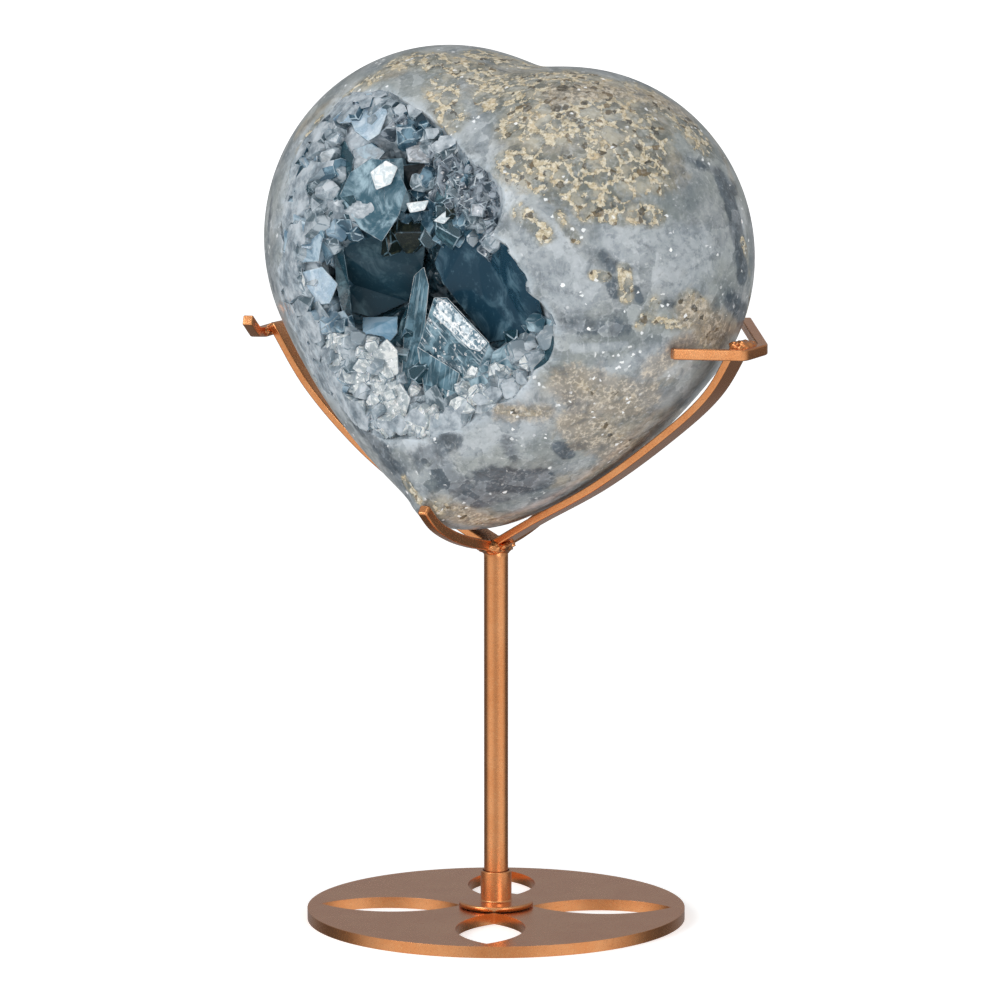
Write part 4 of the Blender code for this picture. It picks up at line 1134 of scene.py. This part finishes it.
def crystal_planes(rng, width, thickness, length, facets):
    """Planes that cut a block along +Z: bevelled sides, a ridged tip and odd facets near it."""
    planes = []
    for sx in (-1, 1):
        for sy in (-1, 1):
            if rng.random() < 0.75:
                slant = math.radians(rng.uniform(25, 60))
                normal = Vector((sx * math.cos(slant), sy * math.sin(slant), rng.uniform(-0.05, 0.1)))
                at = Vector((sx * width / 2, sy * thickness / 2, 0)) * rng.uniform(0.72, 0.92)
                planes.append((at, normal))
    ridge = rng.uniform(-0.22, 0.22) * width
    for sx in (-1, 1):
        slope = math.radians(rng.uniform(28, 62))
        planes.append((Vector((ridge, 0, length)), Vector((sx * math.sin(slope), 0, math.cos(slope)))))
    for sy in (-1, 1):
        if rng.random() < 0.8:
            slope = math.radians(rng.uniform(30, 65))
            planes.append((Vector((0, sy * thickness * 0.1, length * 0.98)),
                           Vector((rng.uniform(-0.2, 0.2), sy * math.sin(slope), math.cos(slope)))))
    for _ in range(facets):
        normal = Vector((rng.uniform(-1, 1), rng.uniform(-1, 1), rng.uniform(0.1, 1.2))).normalized()
        reach = abs(normal.x) * width / 2 + abs(normal.y) * thickness / 2
        at = Vector((0, 0, length * rng.uniform(0.5, 0.8)))
        planes.append((at + normal * reach * rng.uniform(0.75, 1.0), normal))
    return planes


def place_crystal(name, rng, root, tip, width, thickness, twist, looks, group, facets=2):
    """A flat prism from root to tip; with no twist its broad side faces the camera."""
    axis = tip - root
    shape = bmesh.new()
    bmesh.ops.create_cube(shape, size=1.0)
    bmesh.ops.translate(shape, vec=(0, 0, 0.5), verts=shape.verts)
    bmesh.ops.scale(shape, vec=(width, thickness, axis.length), verts=shape.verts)
    for at, normal in crystal_planes(rng, width, thickness, axis.length, facets):
        geometry = list(shape.verts) + list(shape.edges) + list(shape.faces)
        result = bmesh.ops.bisect_plane(shape, geom=geometry, dist=1e-4, plane_co=at,
                                        plane_no=normal.normalized(), clear_outer=True)
        edges = [item for item in result["geom_cut"] if isinstance(item, bmesh.types.BMEdge)]
        if len(edges) >= 3:
            bmesh.ops.edgeloop_fill(shape, edges=edges)
    bmesh.ops.remove_doubles(shape, verts=shape.verts, dist=0.05)
    along = axis.normalized()
    across = along.cross(Vector(FORWARD))
    if across.length < 0.05:
        across = Vector(RIGHT)
    across.normalize()
    turn = Matrix((across, across.cross(along).normalized(), along)).transposed().to_4x4()
    turn = Matrix.Translation(root) @ turn @ Matrix.Rotation(math.radians(twist), 4, "Z")
    add_crystal(name, shape, min(EDGE_BEVEL, 0.06 * min(width, thickness)), looks, group, turn)


def random_lean(rng, amount):
    """The way that a crystal points out of the hollow, up to an amount aside."""
    lean = Vector([rng.uniform(-1, 1) for _ in range(3)]) * amount
    return (lean - Vector(DIG_WAY)).normalized()


def root_at(place):
    return Vector(dug_points(place, hollow_depth(place) + ROOT_DEPTH)[0])


def grow_clusters(rng, looks, grown):
    for number, (x, y, radius, count, widths, rises, names) in enumerate(CLUSTERS):
        for index in range(count):
            around = index * GOLDEN_ANGLE + number
            out = radius * math.sqrt((index + 0.5) / count)
            point = [(x + math.cos(around) * out, y + math.sin(around) * out)]
            width = rng.uniform(*widths)
            thickness = width * rng.uniform(0.55, 0.9)
            rise = width * rng.uniform(*rises)
            toward = random_lean(rng, 0.6)
            twist = rng.uniform(0, 180)
            look = looks[rng.choice(names)]
            place = dig_places(on_stone(point))
            if from_opening_edge(place)[0] < FLOOR_CLEARANCE:
                continue
            root = root_at(place)
            place_crystal("small_%d_%d" % (number, index), rng, root - toward * 1.5,
                          root + toward * rise, width, thickness, twist, look, grown, facets=1)


def grow_rim(rng, looks, grown):
    edge = np.array(OPENING_EDGE + OPENING_EDGE[:1])
    along = np.concatenate([[0], np.cumsum(np.linalg.norm(np.diff(edge, axis=0), axis=1))])
    for index in range(RIM_COUNT):
        at_length = (index + rng.uniform(-0.4, 0.4)) / RIM_COUNT % 1.0 * along[-1]
        at = np.array([[np.interp(at_length, along, edge[:, axis]) for axis in (0, 1)]])
        inward = OPENING_CENTRE - at
        place = at + inward / np.linalg.norm(inward) * rng.uniform(1.0, 5.5)
        corner = np.interp(at_length, along, np.arange(len(edge)))
        names = [names for end, names in RIM_CRYSTALS if corner <= end][0]
        if not names:
            continue
        look = looks[rng.choice(names)]
        toward = random_lean(rng, 0.35)
        root = root_at(place)
        width = rng.uniform(3.5, 8.0 if corner < 15 else 5.5)
        place_crystal("rim_%d" % index, rng, root - toward, root + toward * rng.uniform(5.0, 8.5), width,
                      width * rng.uniform(0.6, 0.9), rng.uniform(0, 180), look, grown, facets=1)


def build_crystals():
    """The crust in the hollow: its bed and the crystals on it, cut off level with the polish."""
    looks = crystal_looks()
    grown = bpy.data.collections.new("grown")
    bpy.context.scene.collection.children.link(grown)
    for name, thickness, kind, corners in FACE_CRYSTALS:
        face_crystal(name, thickness, looks[kind], corners, grown)
    for name, root, tip, width, thickness, twist, kind, seed in PRISM_CRYSTALS:
        place_crystal(name, random.Random(seed), Vector(stone_point(*root)), Vector(stone_point(*tip)),
                      width, thickness, twist, looks[kind], grown)
    rng = random.Random(SMALL_SEED)
    grow_clusters(rng, looks, grown)
    grow_rim(rng, looks, grown)
    crust = new_piece("crystals", hollow_mesh("crystals", BED_THICKNESS, LINER_LIFT, **BED_GRID),
                      wall_look())
    space = new_piece("space", hollow_mesh("space", beyond=1.1, lid=14.0))
    limit = new_piece("limit", heart_mesh("limit", POLISH_INSET, HEART_CELLS))
    room = new_piece("room", hollow_mesh("room", BED_THICKNESS, POLISH_INSET, **BED_GRID))
    cut(limit, "INTERSECT", room)
    baked(limit)
    cut(crust, "DIFFERENCE", space)
    cut(crust, "UNION", group=grown)
    cut(crust, "INTERSECT", limit)
    baked(crust)
    discard(space, limit, room, *grown.objects)
    add_field(crust.data, "depth", np.maximum(-outside_heart(mesh_points(crust.data)), 0))
    shade(crust.data.polygons, False)
    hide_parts("crystal_crust")
    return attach(crust, "root")


# ---------------------------------------------------------------- stand

WELD_LUMPS = 0.28
PLATE_BEVEL = 0.35
STRIP_CORNER = 0.35
CLAW_CORNER = 0.4
PRONG_CORNER = 0.5
CLAW_BEND = 3.0
# Closed profiles of the turned pieces: radius, height
SOCKET_PROFILE = [
    (POST_RADIUS + 0.3, COLLAR_TOP), (COLLAR_RADIUS - 0.3, COLLAR_TOP),
    (COLLAR_RADIUS, COLLAR_TOP - 0.3), (COLLAR_RADIUS, FLANGE_TOP + 0.5),
    (COLLAR_RADIUS + 0.15, FLANGE_TOP + 0.15),
    (COLLAR_RADIUS + 0.5, FLANGE_TOP), (FLANGE_RADIUS - 0.45, FLANGE_TOP),
    (FLANGE_RADIUS - 0.13, FLANGE_TOP - 0.13), (FLANGE_RADIUS, FLANGE_TOP - 0.45),
    (FLANGE_RADIUS, FLANGE_BOTTOM), (POST_RADIUS + 0.3, FLANGE_BOTTOM)]
POST_PROFILE = [
    (0.01, POST_TOP), (POST_RADIUS - 0.4, POST_TOP), (POST_RADIUS, POST_TOP - 0.4),
    *[(POST_RADIUS, POST_TOP - 0.4 - step * (POST_TOP - 3.7) / 60) for step in range(1, 61)],
    (0.01, FLANGE_BOTTOM)]
# Weld beads: name, seed, and per bead centre, radii and turn in degrees
WELDS = [
    ("weld_joint", 2, [((0, -3.6, 99.4), (3.4, 2.2, 1.9), 0), ((0, 3.6, 99.4), (3.2, 2.2, 1.9), 10),
                       ((2.6, -1.0, 99.0), (2.2, 3.4, 1.5), -25),
                       ((-2.6, -0.5, 99.0), (2.2, 3.4, 1.5), 25), ((0, 0, 98.0), (3.5, 3.5, 1.8), 0)]),
    ("weld_right", 4, [((73.2, 0.4, 154.8), (2.4, 3.8, 1.7), 30),
                       ((71.6, -2.0, 155.2), (1.5, 1.6, 1.2), 0),
                       ((73.6, 3.0, 155.0), (1.5, 1.8, 1.3), 20)]),
    ("weld_left", 6, [((-69.2, 0.4, 153.6), (1.8, 3.8, 1.5), -30),
                      ((-69.6, -3.6, 153.0), (1.3, 1.6, 1.2), 0)]),
]


def lens_outline(steps=24):
    """Pointed oval made of two arcs, with its tips on the first axis."""
    half_length = SLOT_LENGTH / 2
    half_width = SLOT_WIDTH / 2
    arc_radius = (half_length ** 2 + half_width ** 2) / (2 * half_width)
    half_angle = math.asin(half_length / arc_radius)
    outline = []
    for side in (1, -1):
        for step in range(steps):
            angle = half_angle * (1 - 2 * step / steps)
            outline.append((side * arc_radius * math.sin(angle),
                            side * (arc_radius * math.cos(angle) - arc_radius + half_width)))
    return outline


def build_plate(look):
    shape = bmesh.new()
    bmesh.ops.create_cone(shape, cap_ends=True, segments=160, radius1=PLATE_RADIUS, radius2=PLATE_RADIUS,
                          depth=PLATE_THICKNESS)
    bmesh.ops.translate(shape, vec=(0, 0, PLATE_THICKNESS / 2), verts=shape.verts)
    plate = new_piece("round_plate", mesh_from_bmesh("round_plate", shape), look)
    cutters = []
    for index in range(4):
        turn = Matrix.Rotation(SLOT_TURN + index * math.pi / 2, 4, "Z")
        turn = turn @ Matrix.Translation((SLOT_CENTRE_RADIUS, 0, 0))
        slot = bmesh.new()
        skin(slot, [[turn @ Vector((x, y, z)) for x, y in lens_outline()]
                    for z in (-2, PLATE_THICKNESS + 2)])
        cutters.append(new_piece("slot", mesh_from_bmesh("slot", slot)))
        cut(plate, "DIFFERENCE", cutters[-1])
    baked(plate)
    discard(*cutters)
    bevel = plate.modifiers.new("Edges", "BEVEL")
    bevel.width = PLATE_BEVEL * MM
    bevel.segments = 3
    bevel.limit_method = "ANGLE"
    bevel.angle_limit = math.radians(40.0)
    shade_by_faces(plate)
    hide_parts("base_plate")
    return plate


def strip_path(line):
    """The middle line of an arm's strip, from the line of its stone-side face."""
    inner = smooth_path([Vector((x, 0.0, z)) for x, z in line], 10)
    outward = math.copysign(1.0, line[-1][0])
    runs = [run_at(inner, index) for index in range(len(inner))]
    return [point + Vector((run.z, 0, -run.x)) * outward * STRIP_THICKNESS / 2
            for point, run in zip(inner, runs)]


def build_stand():
    look = copper_look()
    weld = copper_look("weld_paint_look", 0.03)
    plate = build_plate(look)
    socket = lathe("socket", SOCKET_PROFILE, 96, look)
    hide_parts("post_socket")
    post = lathe("rod_post", POST_PROFILE, 64, look)
    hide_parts("post")
    pieces = [plate, socket, post]
    for name, line, node in (("strip_right", RIGHT_ARM_LINE, "right_arm"),
                             ("strip_left", LEFT_ARM_LINE, "left_arm")):
        strip = sweep(name, strip_path(line), STRIP_WIDTH, STRIP_THICKNESS, STRIP_CORNER, look,
                      Vector((0, 1, 0)))
        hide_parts(node)
        pieces.append(strip)
    for name, points, node in (("hook_right", RIGHT_CLAW_PATH, "right_claw"),
                               ("hook_left", LEFT_CLAW_PATH, "left_claw")):
        path = rounded_path([Vector(point) for point in points], CLAW_BEND)
        hook = sweep(name, path, ROD_SIDE, ROD_SIDE, CLAW_CORNER, look)
        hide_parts(node)
        pieces.append(hook)
    for name, toward, node in (("rod_front", -1.0, "front_prong"), ("rod_back", 1.0, "back_prong")):
        path = smooth_path([Vector((0.0, toward * reach, height)) for reach, height in PRONG_LINE], 8)
        rod = sweep(name, path, ROD_SIDE, ROD_SIDE, PRONG_CORNER, look)
        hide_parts(node)
        pieces.append(rod)
    pieces += [blobs(name, beads, weld, seed) for name, seed, beads in WELDS]
    for piece in pieces:
        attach(piece, "root")


# ---------------------------------------------------------------- studio

# Below the horizon only reflections see the world: soft bright panels left and right of the front
# and dark sides, as stops from straight behind (0) to the front (1) with their strength
REFLECTED = [(0.0, 0.26), (0.26, 0.10), (0.40, 0.16), (0.56, 0.60), (0.74, 0.92), (0.90, 0.86),
             (1.0, 0.56)]
# Lamps: name, place in m, size in m, power in W; where they point, and the brightest way above
LAMPS = [("key", (-0.6, -1.3, 1.0), 0.8, 8.8), ("fill", (1.5, -1.0, 0.5), 0.9, 3.8),
         ("top", (0.1, -0.1, 1.6), 1.2, 5.4)]
LIT_POINT = Vector((0, 0, 0.14))
BRIGHT_WAY = (0.40, -0.86, 0.32)
FLOOR_SIZE = 300.0


def build_floor():
    """A pale floor that glows a little, more so far away, and that copper doesn't mirror."""
    shape = bmesh.new()
    bmesh.ops.create_grid(shape, x_segments=1, y_segments=1, size=FLOOR_SIZE)
    mesh = bpy.data.meshes.new("floor")
    shape.to_mesh(mesh)
    shape.free()
    look = Look("floor_look")
    away = look.vector("LENGTH", look.object_place, output="Value")
    look.set(Base_Color=(0.93, 0.93, 0.93, 1), Roughness=0.9, Emission_Color=(1, 1, 1, 1),
             Emission_Strength=look.step(away, 0.4, 3.0, 0.42, 0.85, "LINEAR"))
    floor = new_piece("floor", mesh, look.material)
    floor.visible_glossy = False


def build_world():
    """Soft light that is stronger from the front, and other reflections from below the horizon."""
    world = bpy.data.worlds.new("studio")
    world.use_nodes = True
    nodes = Nodes(world.node_tree)
    ways = nodes.node("ShaderNodeTexCoord").outputs["Generated"]
    toward = nodes.vector("DOT_PRODUCT", ways, BRIGHT_WAY, "Value")
    front = -Vector((FORWARD[0], FORWARD[1], 0.0)).normalized()
    ahead = nodes.step(nodes.vector("DOT_PRODUCT", ways, front, "Value"), -1.0, 1.0, kind="LINEAR")
    height = nodes.node("ShaderNodeSeparateXYZ", {0: ways}).outputs["Z"]
    strength = nodes.node("ShaderNodeMix", {
        0: nodes.step(height, 0.0, -0.08), 2: nodes.step(toward, -0.9, 0.9, 0.30, 0.56),
        3: nodes.ramp(ahead, REFLECTED, "EASE")}).outputs[0]
    background = world.node_tree.nodes["Background"]
    background.inputs["Color"].default_value = (1, 1, 1, 1)
    nodes.put(background.inputs["Strength"], strength)
    bpy.context.scene.world = world


def build_lamps():
    for name, place, size, power in LAMPS:
        data = bpy.data.lights.new(name, "AREA")
        data.shape = "RECTANGLE"
        data.size = size
        data.size_y = size * 0.8
        data.energy = power
        lamp = bpy.data.objects.new(name, data)
        bpy.context.scene.collection.objects.link(lamp)
        lamp.location = place
        lamp.rotation_euler = (LIT_POINT - lamp.location).to_track_quat("-Z", "Y").to_euler()


build_camera()
build_floor()
build_world()
build_lamps()
bpy.context.scene.view_settings.view_transform = "Standard"
build_stand()
build_stone()
build_crystals()
